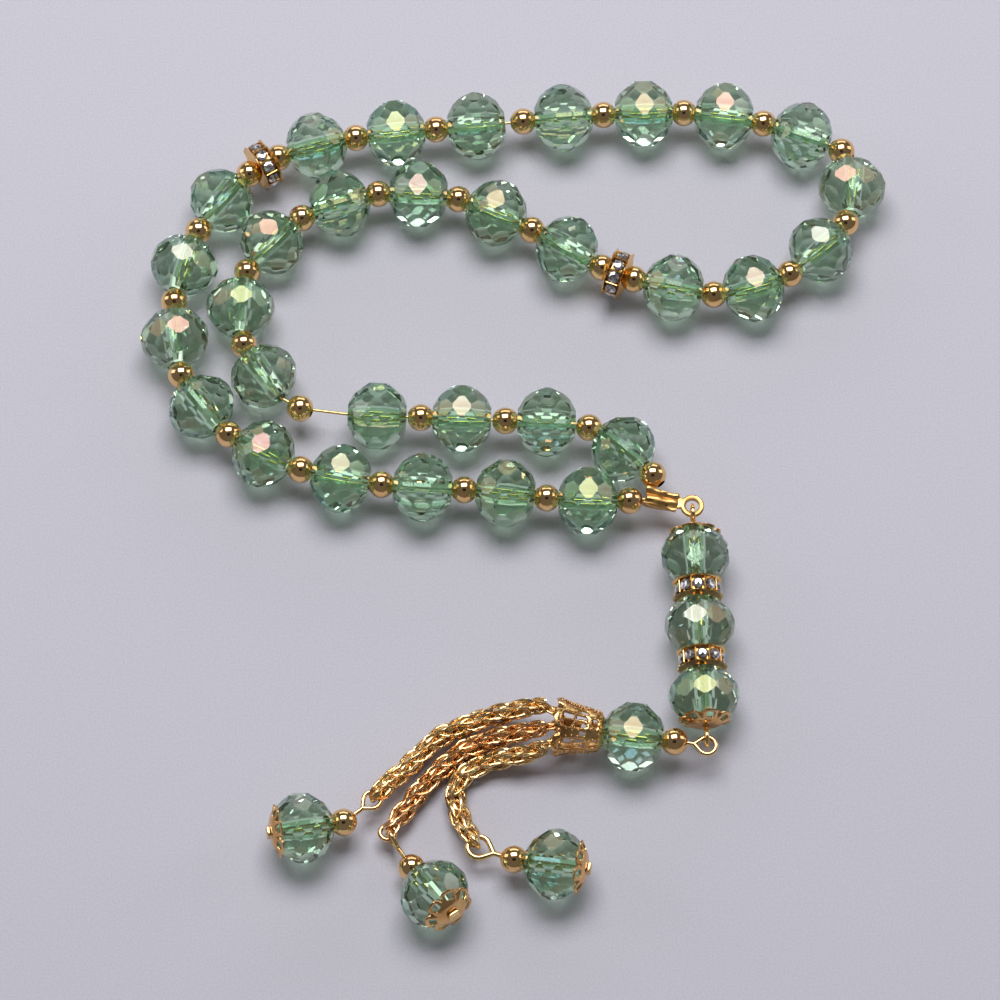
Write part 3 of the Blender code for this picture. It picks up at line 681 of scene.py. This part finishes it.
# %% Divider stone and bar
STONE_RADIUS = 0.68 * MM
STONE_AWAY = 2.36 * MM  # from the bore to a stone's middle
BAR_AWAY = 2.42 * MM
stone_finish = new_finish("clear_stone_painted_glints", (0.86, 0.84, 0.85), 0.85, 0.04)
# The stones' colour runs by a fine noise from near black to near white: painted dark and bright
# reflections, the glints of the cut stones.
tint(stone_finish, grain(stone_finish, 2200.0, 2.0), (0.16, 0.14, 0.15), (0.95, 0.93, 0.95))
wear(stone_finish, grain(stone_finish, 1600.0), 0.02, 0.12)


def cut_stone():
    """A round stone: a flat drum whose top is drawn in to a table and poked into facets."""
    bpy.ops.mesh.primitive_cylinder_add(vertices=8, radius=STONE_RADIUS, depth=0.4 * MM)
    stone = name_new("stone")
    bpy.ops.object.mode_set(mode="EDIT")
    pick(stone, lambda place: place.z > 0.19 * MM, "faces")
    bpy.ops.mesh.inset(thickness=0.26 * MM, depth=0.16 * MM)
    bpy.ops.mesh.poke(offset=0.05 * MM)
    return finish_mesh(stone, stone_finish, 5.0)


def setting_bar():
    """The bar between two stones, a small block with softened corners."""
    bpy.ops.mesh.primitive_cube_add(size=1.0)
    bpy.context.object.scale = (0.5 * MM, 0.2 * MM, 1.5 * MM)
    bar = name_new("setting_bar")
    bpy.ops.object.mode_set(mode="EDIT")
    bpy.ops.mesh.select_all(action="SELECT")
    bpy.ops.mesh.bevel(offset=0.05 * MM, segments=1)
    return finish_mesh(bar, rim_gold)


stone_pattern, bar_pattern = cut_stone(), setting_bar()


# %% Divider, put together
def stone_divider():
    hub = finish_mesh(turn("hub", millimetres([(0.56, 0.3), (2.2, 0.62), (2.2, -0.62),
                                               (0.56, -0.3)]), 40), rim_gold)
    flip = Matrix.Rotation(math.pi, 4, "X")
    pieces = [hub, stamp(rim_pattern, "rim", Matrix.Identity(4)), stamp(rim_pattern, "rim", flip)]
    outward = Matrix.Rotation(math.pi / 2, 4, "Y")
    for number in range(STONES):
        round_it = Matrix.Rotation(2 * math.pi * (number + 0.5) / STONES, 4, "Z")
        half_on = Matrix.Rotation(2 * math.pi * number / STONES, 4, "Z")
        pieces.append(stamp(stone_pattern, "stone",
                            round_it @ Matrix.Translation((STONE_AWAY, 0.0, 0.0)) @ outward))
        pieces.append(stamp(bar_pattern, "bar",
                            half_on @ Matrix.Translation((BAR_AWAY, 0.0, 0.0))))
    return join("divider", pieces)


divider_pattern = stone_divider()
for name in sorted(node for node in NODES if "divider" in node):
    dress(stamp(divider_pattern, name + "_stones", at(*crystal_at(name))), "stone_ring", name)
print("divider has", len(divider_pattern.data.polygons), "faces")

# %% [markdown]
# ## Flower caps
#
# Five thin stamped caps close the ends of the bar and the drops. A cap is a shallow
# dish with petals, and each petal has a round hole. An open dish is turned on the
# wheel, its rim is drawn in between the petals, holes are opened, and the sheet is then
# thickened and rounded by a subdivision.

# %% One flower cap
PETALS = 7
PETAL_STEPS = 8  # corners round each petal
# How the rim is drawn in beside a gap: nearness to the gap, and the scale there.
RIM_DRAWN_IN = ((0.05, 0.64), (0.3, 0.84), (0.55, 0.96))
# The notch between two petals: from and to this radius, and the scale there.
NOTCHES = ((2.5, 2.7, 0.71), (2.2, 2.3, 0.84))
TIP_LIFT = 0.16 * MM
cap_gold = gold_finish("cap_gold", (0.62, 0.33, 0.12), (0.86, 0.54, 0.24), 0.2, 0.02 * MM)


def between_petals(place):
    """How far a corner is from the gap between two petals, from 0 to 1 at the petal's middle."""
    share = turn_about(place) / (2 * math.pi) * PETALS % 1.0
    return 2 * min(share, 1.0 - share)


def flower_cap():
    dish = [(0.36, 3.52), (0.7, 3.52), (1.1, 3.52), (1.45, 3.44), (1.85, 3.24), (2.25, 3.02),
            (2.65, 2.8), (3.1, 2.6)]
    cap = turn("flower_cap", millimetres(dish), PETALS * PETAL_STEPS, closed=False)
    for nearness, draw_in in RIM_DRAWN_IN:
        pick(cap, lambda place: radial(place) > 2.8 * MM and
             nearness - 0.05 < between_petals(place) < nearness)
        resize_round(draw_in)
    for near, far, draw_in in NOTCHES:
        pick(cap, lambda place: near * MM < radial(place) < far * MM and
             between_petals(place) < 0.05)
        resize_round(draw_in)
    pick(cap, lambda place: place.z < 2.65 * MM)
    bpy.ops.transform.translate(value=(0.0, 0.0, TIP_LIFT))
    pick(cap, lambda place: 1.9 * MM < radial(place) < 2.6 * MM and between_petals(place) > 0.55,
         "faces")
    bpy.ops.mesh.inset(thickness=0.04 * MM)
    bpy.ops.mesh.delete(type="FACE")
    bpy.ops.mesh.select_all(action="SELECT")
    bpy.ops.mesh.normals_make_consistent(inside=False)
    bpy.ops.object.mode_set(mode="OBJECT")
    apply_modifier(cap, "SOLIDIFY", thickness=0.24 * MM, offset=0.0)
    apply_modifier(cap, "SUBSURF", levels=1)
    return finish_mesh(cap, cap_gold, 50.0)


cap_pattern = flower_cap()
print("cap has", len(cap_pattern.data.polygons), "faces")


# %% Caps in place
for node, crystal, side in (("bar_cap_top", "bar_crystal_1", -1),
                            ("bar_cap_bottom", "bar_crystal_3", 1),
                            ("drop_back_cap", "drop_back_crystal", 1),
                            ("drop_middle_cap", "drop_middle_crystal", 1),
                            ("drop_front_cap", "drop_front_crystal", 1)):
    middle, way = crystal_at(crystal)
    dress(stamp(cap_pattern, node + "_petals", at(middle, way * side)), "flower_cap", node)
print("five caps are on")

# %% [markdown]
# ## Clamp
#
# Both ends of the wire are pinched in a small folded sheet with a ringed tab, which the
# bar hangs from. A block is opened at the bead end like a sleeve, divided finely and
# crumpled by a soft noise, because the sheet was folded by hand with pliers.

# %% Folded sheet with its ring
SLEEVE_REACH = 0.75 * MM  # how far the open end is drawn out towards the beads
SLEEVE_DEPTH = 2.4 * MM
SLEEVE_WALL = 0.26 * MM
TAB_END_PRESS = 0.35 * MM
CREASES = ((0.25, 0.5), (-0.9, 0.25))  # middle and depth in millimetres of each pressed fold
CREASE_HALF = 0.25  # millimetres
CRUMPLE_SIZE = 1.5 * MM
CRUMPLE_HEIGHT = 0.85 * MM
clamp_gold = gold_finish("clamp_gold", (0.55, 0.31, 0.10), (0.76, 0.47, 0.18), 0.34, 0.03 * MM)


def folded_sheet():
    bpy.ops.mesh.primitive_cube_add(size=1.0)
    bpy.context.object.scale = CLAMP_SIZE * 0.96
    sheet = name_new("folded_sheet")
    bpy.ops.object.mode_set(mode="EDIT")
    pick(sheet, lambda place: place.x < 0)
    bpy.ops.transform.translate(value=(-SLEEVE_REACH, 0.0, 0.0))
    pick(sheet, lambda place: place.x < -1.4 * MM, "faces")
    bpy.ops.mesh.inset(thickness=SLEEVE_WALL)
    bpy.ops.mesh.extrude_region_move(TRANSFORM_OT_translate={"value": (SLEEVE_DEPTH, 0.0, 0.0)})
    pick(sheet, lambda place: place.x > 1.4 * MM and place.z > 0)
    bpy.ops.transform.translate(value=(0.0, 0.0, -TAB_END_PRESS))
    bpy.ops.mesh.select_all(action="SELECT")
    bpy.ops.mesh.subdivide(number_cuts=7)
    for middle, sink in CREASES:
        pick(sheet, lambda place: abs(place.y / MM - middle) < CREASE_HALF and
             place.z > 0.3 * MM)
        bpy.ops.transform.translate(value=(0.0, 0.0, -sink * MM))
    bpy.ops.object.mode_set(mode="OBJECT")
    crumple = bpy.data.textures.new("crumple", "CLOUDS")
    crumple.noise_scale = CRUMPLE_SIZE
    apply_modifier(sheet, "DISPLACE", texture=crumple, strength=CRUMPLE_HEIGHT, mid_level=0.5)
    apply_modifier(sheet, "SUBSURF", levels=1)
    return finish_mesh(sheet, clamp_gold, 40.0)


def tab_ring():
    """A flat ring with softened edges, and the tab that holds it to the sheet."""
    ring = turn("tab_ring", millimetres([(0.76, 0.18), (0.92, 0.27), (1.2, 0.27), (1.35, 0.14),
                                         (1.35, -0.14), (1.2, -0.27), (0.92, -0.27),
                                         (0.76, -0.18)]), 36)
    bpy.ops.mesh.select_all(action="SELECT")
    bpy.ops.transform.translate(value=(3.2 * MM, 0.0, 0.0))
    finish_mesh(ring, clamp_gold)
    bpy.ops.mesh.primitive_cube_add(size=1.0, location=(1.92 * MM, 0.0, 0.0))
    bpy.context.object.scale = (1.1 * MM, 1.5 * MM, 0.46 * MM)
    tab = name_new("tab")
    bpy.ops.object.mode_set(mode="EDIT")
    pick(tab, lambda place: place.x > 2.4 * MM)
    bpy.ops.transform.resize(value=(1.0, 0.72, 1.0), center_override=(0.0, 0.0, 0.0))
    bpy.ops.mesh.select_all(action="SELECT")
    bpy.ops.mesh.bevel(offset=0.1 * MM, segments=2)
    return [ring, finish_mesh(tab, clamp_gold)]


clamp_piece = join("clamp_sheet", [folded_sheet()] + tab_ring())
clamp_piece.data.transform(clamp_place)
dress(clamp_piece, "clamp", "clamp")
print("clamp has", len(clamp_piece.data.polygons), "faces")

# %% [markdown]
# ## Pins
#
# Pins are straight gold wires whose ends are rolled into eyes with round-nosed pliers.
# Each is one wire drawn from the tip of one eye, round it, down the shaft and round the
# other eye. The drops' pins end in a flat, squared head that holds the flower cap.

# %% Wires with eyes
EYE_RADIUS = 1.0 * MM
EYE_LENGTH = 1.45 * MM
EYE_STEPS = 22


def eye(centre, way, up, radius, length):
    """Points round a wire eye: round at the hinge, drawn out to a point along the way."""
    side = up.cross(way).normalized()
    touch = math.acos(radius / length)  # where the straight legs leave the round end
    line = [centre + way * length]
    for index in range(EYE_STEPS + 1):
        angle = touch + (2 * math.pi - 2 * touch) * index / EYE_STEPS
        line.append(centre + (way * math.cos(angle) + side * math.sin(angle)) * radius)
    return line + [centre + way * length]


def wire_piece(name, points, radius=PIN_RADIUS):
    """A wire as a mesh with welded ends."""
    wire = bend_wire(name, points, radius)
    bpy.ops.object.convert(target="MESH")
    bpy.context.view_layer.objects.active = wire
    return finish_mesh(wire, pin_gold, 50.0)


def square_head():
    """A pin's head: a small block flared and softened, like the folded end of a strip."""
    bpy.ops.mesh.primitive_cube_add(size=1.0, location=(0.0, 0.0, 0.16 * MM))
    bpy.context.object.scale = (1.25 * MM, 1.05 * MM, 0.32 * MM)
    head = name_new("head")
    bpy.ops.object.mode_set(mode="EDIT")
    pick(head, lambda place: place.z > 0.3 * MM, "faces")
    bpy.ops.mesh.inset(thickness=0.22 * MM, depth=-0.1 * MM)
    bpy.ops.mesh.select_all(action="SELECT")
    bpy.ops.mesh.bevel(offset=0.05 * MM, segments=2)
    return finish_mesh(head, pin_gold)


pin_gold = gold_finish("pin_gold", (0.82, 0.55, 0.22), (0.94, 0.68, 0.33), 0.13)
head_pattern = square_head()

# %% Bar pin
BAR_EYE_RADIUS = 0.95 * MM
BAR_EYE_LENGTH = 1.35 * MM
bar_hinge = Vector(JOINTS["bar_swing"]["pos_m"])
link_hinge = Vector(JOINTS["link_swing"]["pos_m"])
bar_way = (link_hinge - bar_hinge).normalized()
bar_side = bar_way.cross(UP)
bar_wire = (eye(bar_hinge + bar_way * BAR_EYE_RADIUS, bar_way, bar_side, BAR_EYE_RADIUS,
                BAR_EYE_LENGTH)
            + eye(link_hinge - bar_way * BAR_EYE_RADIUS, -bar_way, bar_side, BAR_EYE_RADIUS,
                  BAR_EYE_LENGTH))
dress(wire_piece("bar_wire", bar_wire), "gold", "bar_pin")
print("bar pin is", round((link_hinge - bar_hinge).length / MM, 1), "mm between hinges")

# %% Link pin and its ball
BEAD_GAP = 0.1 * MM  # between a glass bead and what sits beside it on a pin
INNER_EYE_AWAY = 2.6 * MM  # from the bell's neck to the eye inside it
INNER_EYE_LENGTH = 1.6 * MM
LINK_BALL_AWAY = 3.7 * MM
link_crystal, link_axis = crystal_at("link_crystal")
link_way = link_axis * (1 if link_axis.dot(link_crystal - link_hinge) > 0 else -1)
neck = link_crystal + link_way * (CRYSTAL_LENGTH / 2 + BEAD_GAP)
inner_eye = neck + link_way * INNER_EYE_AWAY
link_wire = (eye(link_hinge, link_way, UP, EYE_RADIUS, EYE_LENGTH)
             + eye(inner_eye, -link_way, UP, EYE_RADIUS, INNER_EYE_LENGTH))
link_ball = stamp(ball_pattern, "link_ball", at(link_hinge + link_way * LINK_BALL_AWAY, link_way))
dress(join("link_wire_and_ball", [wire_piece("link_wire", link_wire), link_ball]), "gold",
      "link_pin")

# %% Drop pins
FACE = 3.65 * MM  # from a drop's glass bead's centre to its cap's outer face
HEAD_GAP = 0.08 * MM
FRONT_WIDTH = 1.25  # the front drop has the widest eye, of the thickest wire
for name, upright in (("back", False), ("middle", True), ("front", False)):
    lift = "lift" if upright else "swing"
    hinge = Vector(JOINTS[f"drop_{name}_{lift}"]["pos_m"])
    crystal, way = crystal_at(f"drop_{name}_crystal")
    ball = crystal - way * (BALL_RADIUS + BEAD_GAP + CRYSTAL_LENGTH / 2)
    to_ball = ball - hinge
    eye_way = to_ball.normalized() if upright else Vector((to_ball.x, to_ball.y, 0.0)).normalized()
    plane = to_ball.cross(UP).normalized() if upright else UP
    head_place = crystal + way * (FACE + HEAD_GAP)
    wide = FRONT_WIDTH if name == "front" else 1.0
    wire = (eye(hinge, eye_way, plane, EYE_RADIUS * wide, EYE_LENGTH * wide)
            + [ball, head_place])
    pieces = [wire_piece("drop_wire", wire, PIN_RADIUS * wide),
              stamp(ball_pattern, "drop_ball", at(ball, way)),
              stamp(head_pattern, "drop_head", at(head_place, way))]
    dress(join(f"drop_{name}_wire_and_ball", pieces), "gold", f"drop_{name}_pin")
print("three drops are pinned")

# %% [markdown]
# ## Bell cap
#
# The three chains come out of a small pierced bell. Leaves run down from its neck, each
# with a long opening and a small round one, and rows of grains stand along their edges.
# The bell is turned as an open sheet, the openings are cut out of it, and the sheet is
# then thickened. The grains are flattened little balls, copied along the edges.

# %% Pierced bell
LEAVES = 6
LEAF_STEPS = 8
bell_gold = gold_finish("bell_gold", (0.55, 0.28, 0.09), (0.88, 0.56, 0.24), 0.2, 0.03 * MM)
LONG_OPENING = (3.4, 1.4, 0.62)  # its middle's height, half its height, and half its width
BELL = [(1.3, 0.1), (1.9, 0.3), (2.15, 0.8), (2.27, 1.4), (2.38, 2.0), (2.5, 2.7), (2.65, 3.4),
        (2.82, 4.1), (3.0, 4.8), (3.22, 5.6)]


def off_leaf(place):
    """How far a place is from its leaf's middle line, from 0 to 1 between two leaves."""
    return 1.0 - 2 * abs(turn_about(place) / (2 * math.pi) * LEAVES % 1.0 - 0.5)


def in_opening(place):
    height, aside = place.z / MM, 1.0 - off_leaf(place)
    middle, half_height, half_width = LONG_OPENING
    long_one = ((height - middle) / half_height) ** 2 + (aside / half_width) ** 2 < 1.0
    small_one = 0.85 < height < 1.4 and aside < 0.4
    notch = aside > 0.74 and (height > 4.6 or 2.0 < height < 2.6)
    return long_one or small_one or notch


def pierced_bell():
    bell = turn("bell", millimetres(BELL), LEAVES * LEAF_STEPS, closed=False)
    pick(bell, in_opening, "faces")
    bpy.ops.mesh.delete(type="FACE")
    pick(bell, lambda place: place.z > 5.5 * MM and off_leaf(place) > 0.9)
    bpy.ops.transform.translate(value=(0.0, 0.0, 0.3 * MM))
    bpy.ops.mesh.select_all(action="SELECT")
    bpy.ops.mesh.normals_make_consistent(inside=False)
    bpy.ops.object.mode_set(mode="OBJECT")
    apply_modifier(bell, "SOLIDIFY", thickness=0.3 * MM, offset=0.0)
    apply_modifier(bell, "SUBSURF", levels=1)
    return finish_mesh(bell, bell_gold, 50.0)


bell_piece = pierced_bell()
print("bell has", len(bell_piece.data.polygons), "faces")

# %% Grains along the leaves
GRAIN = 0.17 * MM
NECK_GRAINS = 24
# Rings of grains on each leaf: how many, half the ring's width, its height, half its height.
LEAF_GRAINS = ((16, 0.40, 3.5, 1.7), (7, 0.26, 1.12, 0.5))


def one_grain():
    bpy.ops.mesh.primitive_ico_sphere_add(subdivisions=1, radius=GRAIN)
    grain_ball = name_new("grain")
    bpy.ops.object.mode_set(mode="EDIT")
    bpy.ops.mesh.select_all(action="SELECT")
    bpy.ops.transform.resize(value=(1.0, 1.0, 0.8), center_override=(0.0, 0.0, 0.0))
    return finish_mesh(grain_ball, bell_gold, 90.0)


def bell_radius(height):
    for (low_radius, low), (high_radius, high) in zip(BELL, BELL[1:]):
        if low <= height <= high:
            return low_radius + (high_radius - low_radius) * (height - low) / (high - low)
    return BELL[-1][0]


def grain_places():
    """Pairs of an angle in leaves and a height: round the neck and round and in each opening."""
    spots = [(number / NECK_GRAINS * LEAVES, 0.5) for number in range(NECK_GRAINS)]
    for leaf in range(LEAVES):
        for count, wide_half, middle, tall_half in LEAF_GRAINS:
            for number in range(count):
                angle = 2 * math.pi * number / count
                spots.append((leaf + 0.5 + wide_half * math.cos(angle),
                              middle + tall_half * math.sin(angle)))
        for number in range(8):  # a cross of grains fills the long opening
            spots.append((leaf + 0.5, 2.35 + 0.3 * number))
        for number in (-2, -1, 1, 2):
            spots.append((leaf + 0.5 + 0.1 * number, 3.4))
    return spots


grain_pattern = one_grain()
grains = []
for leaf, height in grain_places():
    around = 2 * math.pi * leaf / LEAVES
    away = (bell_radius(height) + 0.15) * MM
    spot = Vector((away * math.cos(around), away * math.sin(around), height * MM))
    grains.append(stamp(grain_pattern, "grain", Matrix.Translation(spot)))
grain_count = len(grains)
bell_piece = join("pierced_bell", [bell_piece] + grains)
bell_piece.data.transform(at(neck, link_way))
dress(bell_piece, "bell", "bell_cap")
print(grain_count, "grains on the bell")

# %% [markdown]
# ## Rope chains
#
# A rope chain is made of many small open rings, each laid through the ones before it
# and turned a little, so that their edges wind round the chain. Here one oval ring is
# bent and twisted, and copies in pairs are laid along the chain's line, each pair turned
# further than the last. The CAD holds each chain as one rigid piece, so its rings are
# joined into one object.

# %% The lines of the chains
CHAIN_LINES = {
    "back": [(4.7, -26.9, 3.6), (3.9, -26.5, 3.5), (3.0, -26.1, 3.3), (2.1, -26.0, 3.0),
             (0.9, -26.1, 2.6), (-1.0, -26.4, 2.0), (-3.3, -26.8, 1.4), (-5.5, -27.6, 1.15),
             (-7.7, -28.6, 1.15), (-9.5, -29.9, 1.15), (-11.1, -31.6, 1.15),
             (-12.7, -33.3, 1.4), (-14.0, -34.7, 1.9), (-14.8, -35.6, 2.3)],
    "middle": [(4.6, -28.5, 3.6), (3.8, -28.6, 3.5), (2.9, -28.7, 3.2), (2.0, -28.8, 2.9),
               (0.9, -28.9, 2.5), (-1.0, -29.1, 1.9), (-2.9, -29.5, 1.4), (-4.7, -30.1, 1.15),
               (-6.3, -31.0, 1.15), (-7.7, -32.3, 1.15), (-9.1, -33.7, 1.15),
               (-10.4, -35.2, 1.15), (-11.6, -36.8, 1.15), (-12.9, -38.6, 1.3),
               (-13.7, -39.8, 1.7)],
    "front": [(4.5, -30.3, 3.6), (3.7, -30.7, 3.5), (2.8, -31.1, 3.2), (1.9, -31.4, 2.8),
              (0.8, -31.6, 2.4), (-1.0, -31.7, 1.8), (-2.9, -32.1, 1.3), (-4.5, -32.8, 1.15),
              (-5.8, -33.8, 1.15), (-6.5, -35.0, 1.15), (-6.6, -36.4, 1.15),
              (-6.3, -38.0, 1.3), (-5.7, -39.6, 1.7), (-5.0, -41.0, 2.2)],
}
CHAIN_STEP = 0.3 * MM
THIN_START = 4.5 * MM  # the first stretch, inside the bell, is drawn thinner
chain_gold = gold_finish("chain_gold", (0.80, 0.50, 0.20), (0.97, 0.70, 0.36), 0.2)
red_gold = gold_finish("red_gold", (0.76, 0.41, 0.17), (0.94, 0.58, 0.29), 0.2)


# %% One oval ring of the rope
OVAL = 2.1  # length of a ring against its width
TWIST = 0.15  # radians that each end of a ring is twisted by


def rope_ring():
    bpy.ops.mesh.primitive_torus_add(major_segments=18, minor_segments=6, major_radius=0.72 * MM,
                                     minor_radius=0.225 * MM)
    ring = name_new("rope_ring")
    bpy.ops.object.mode_set(mode="EDIT")
    bpy.ops.mesh.select_all(action="SELECT")
    bpy.ops.transform.resize(value=(OVAL, 1.0, 1.0), center_override=(0.0, 0.0, 0.0))
    for end in (1, -1):
        pick(ring, lambda place: place.x * end > 0.5 * MM)
        bpy.ops.transform.rotate(value=TWIST * end, orient_axis="X",
                                 center_override=(0.0, 0.0, 0.0))
    return finish_mesh(ring, chain_gold, 60.0)


ring_pattern = rope_ring()
print("rope ring has", len(ring_pattern.data.polygons), "faces")

# %% Lay the rings along each chain
RING_STEP = 0.9 * MM
STRAND_TURN = 4.7 * MM  # chain for one full turn of its two strands
STRAND_AWAY = 0.36 * MM
STRAND_SLANT = math.radians(16.0)
RING_LEAN = math.radians(46.0)
END_RING_RADIUS = 0.85 * MM
END_RING_WIRE = 0.28 * MM
END_RING_AWAY = 0.95 * MM  # from the chain's end to the ring's middle
END_RING_STEPS = 24


def even_steps(line, step):
    """Points on the line this far apart, with the way it goes there and the length so far."""
    spots, done, due = [], 0.0, 0.0
    for start, stop in zip(line, line[1:]):
        stretch = (stop - start).length
        while due <= done + stretch:
            spot = start.lerp(stop, (due - done) / stretch)
            spots.append((spot, (stop - start).normalized(), due))
            due += step
        done += stretch
    return spots


def rope_chain(points):
    """Rings in two strands that wind round each other along the line."""
    line = smooth_route([Vector(point) * MM for point in points], CHAIN_STEP)
    lay = (Matrix.Rotation(-STRAND_SLANT, 4, "X") @ Matrix.Rotation(-math.pi / 2, 4, "Y")
           @ Matrix.Rotation(RING_LEAN, 4, "X"))
    rings = []
    for spot, way, done in even_steps(line, RING_STEP):
        thin = min(1.0, 0.5 + 0.5 * done / THIN_START)
        for strand in (0.0, math.pi):
            wind = Matrix.Rotation(2 * math.pi * done / STRAND_TURN + strand, 4, "Z")
            place = at(spot, way) @ wind @ Matrix.Translation((STRAND_AWAY * thin, 0.0, 0.0))
            rings.append(stamp(ring_pattern, "ring", place @ lay @ Matrix.Scale(thin, 4)))
    return rings, line[-1], Vector(points[-1]) - Vector(points[-2])


def end_ring(hinge, last, way, upright):
    """The ring that the drop hangs from, round its middle beyond the chain's end."""
    middle = last + Vector((way.x, way.y, 0.0)).normalized() * END_RING_AWAY
    out = (hinge - middle).normalized()
    other = UP if not upright else out.cross(UP)
    turns = [2 * math.pi * step / END_RING_STEPS for step in range(END_RING_STEPS)]
    ring = bend_wire("end_ring", [middle + (out * math.cos(turn_by) + other * math.sin(turn_by))
                                  * END_RING_RADIUS for turn_by in turns], END_RING_WIRE, True)
    bpy.ops.object.convert(target="MESH")
    return finish_mesh(ring, chain_gold, 60.0)


for name, points in CHAIN_LINES.items():
    upright = name == "middle"
    rings, last, way = rope_chain(points)
    hinge = Vector(JOINTS[f"drop_{name}_{'lift' if upright else 'swing'}"]["pos_m"])
    ring_count = len(rings)
    chain = join(f"rope_{name}", rings + [end_ring(hinge, last, way, upright)])
    if upright:
        chain.data.materials[0] = red_gold
    dress(chain, "chain", f"chain_{name}")
    print("chain", name, "has", ring_count, "rings and", len(chain.data.polygons), "faces")

# %% Clear the patterns away
for pattern in (ball_pattern, bead_pattern, rim_pattern, stone_pattern, bar_pattern, divider_pattern,
                cap_pattern, head_pattern, grain_pattern, ring_pattern):
    bpy.data.objects.remove(pattern)
print("patterns are put away")
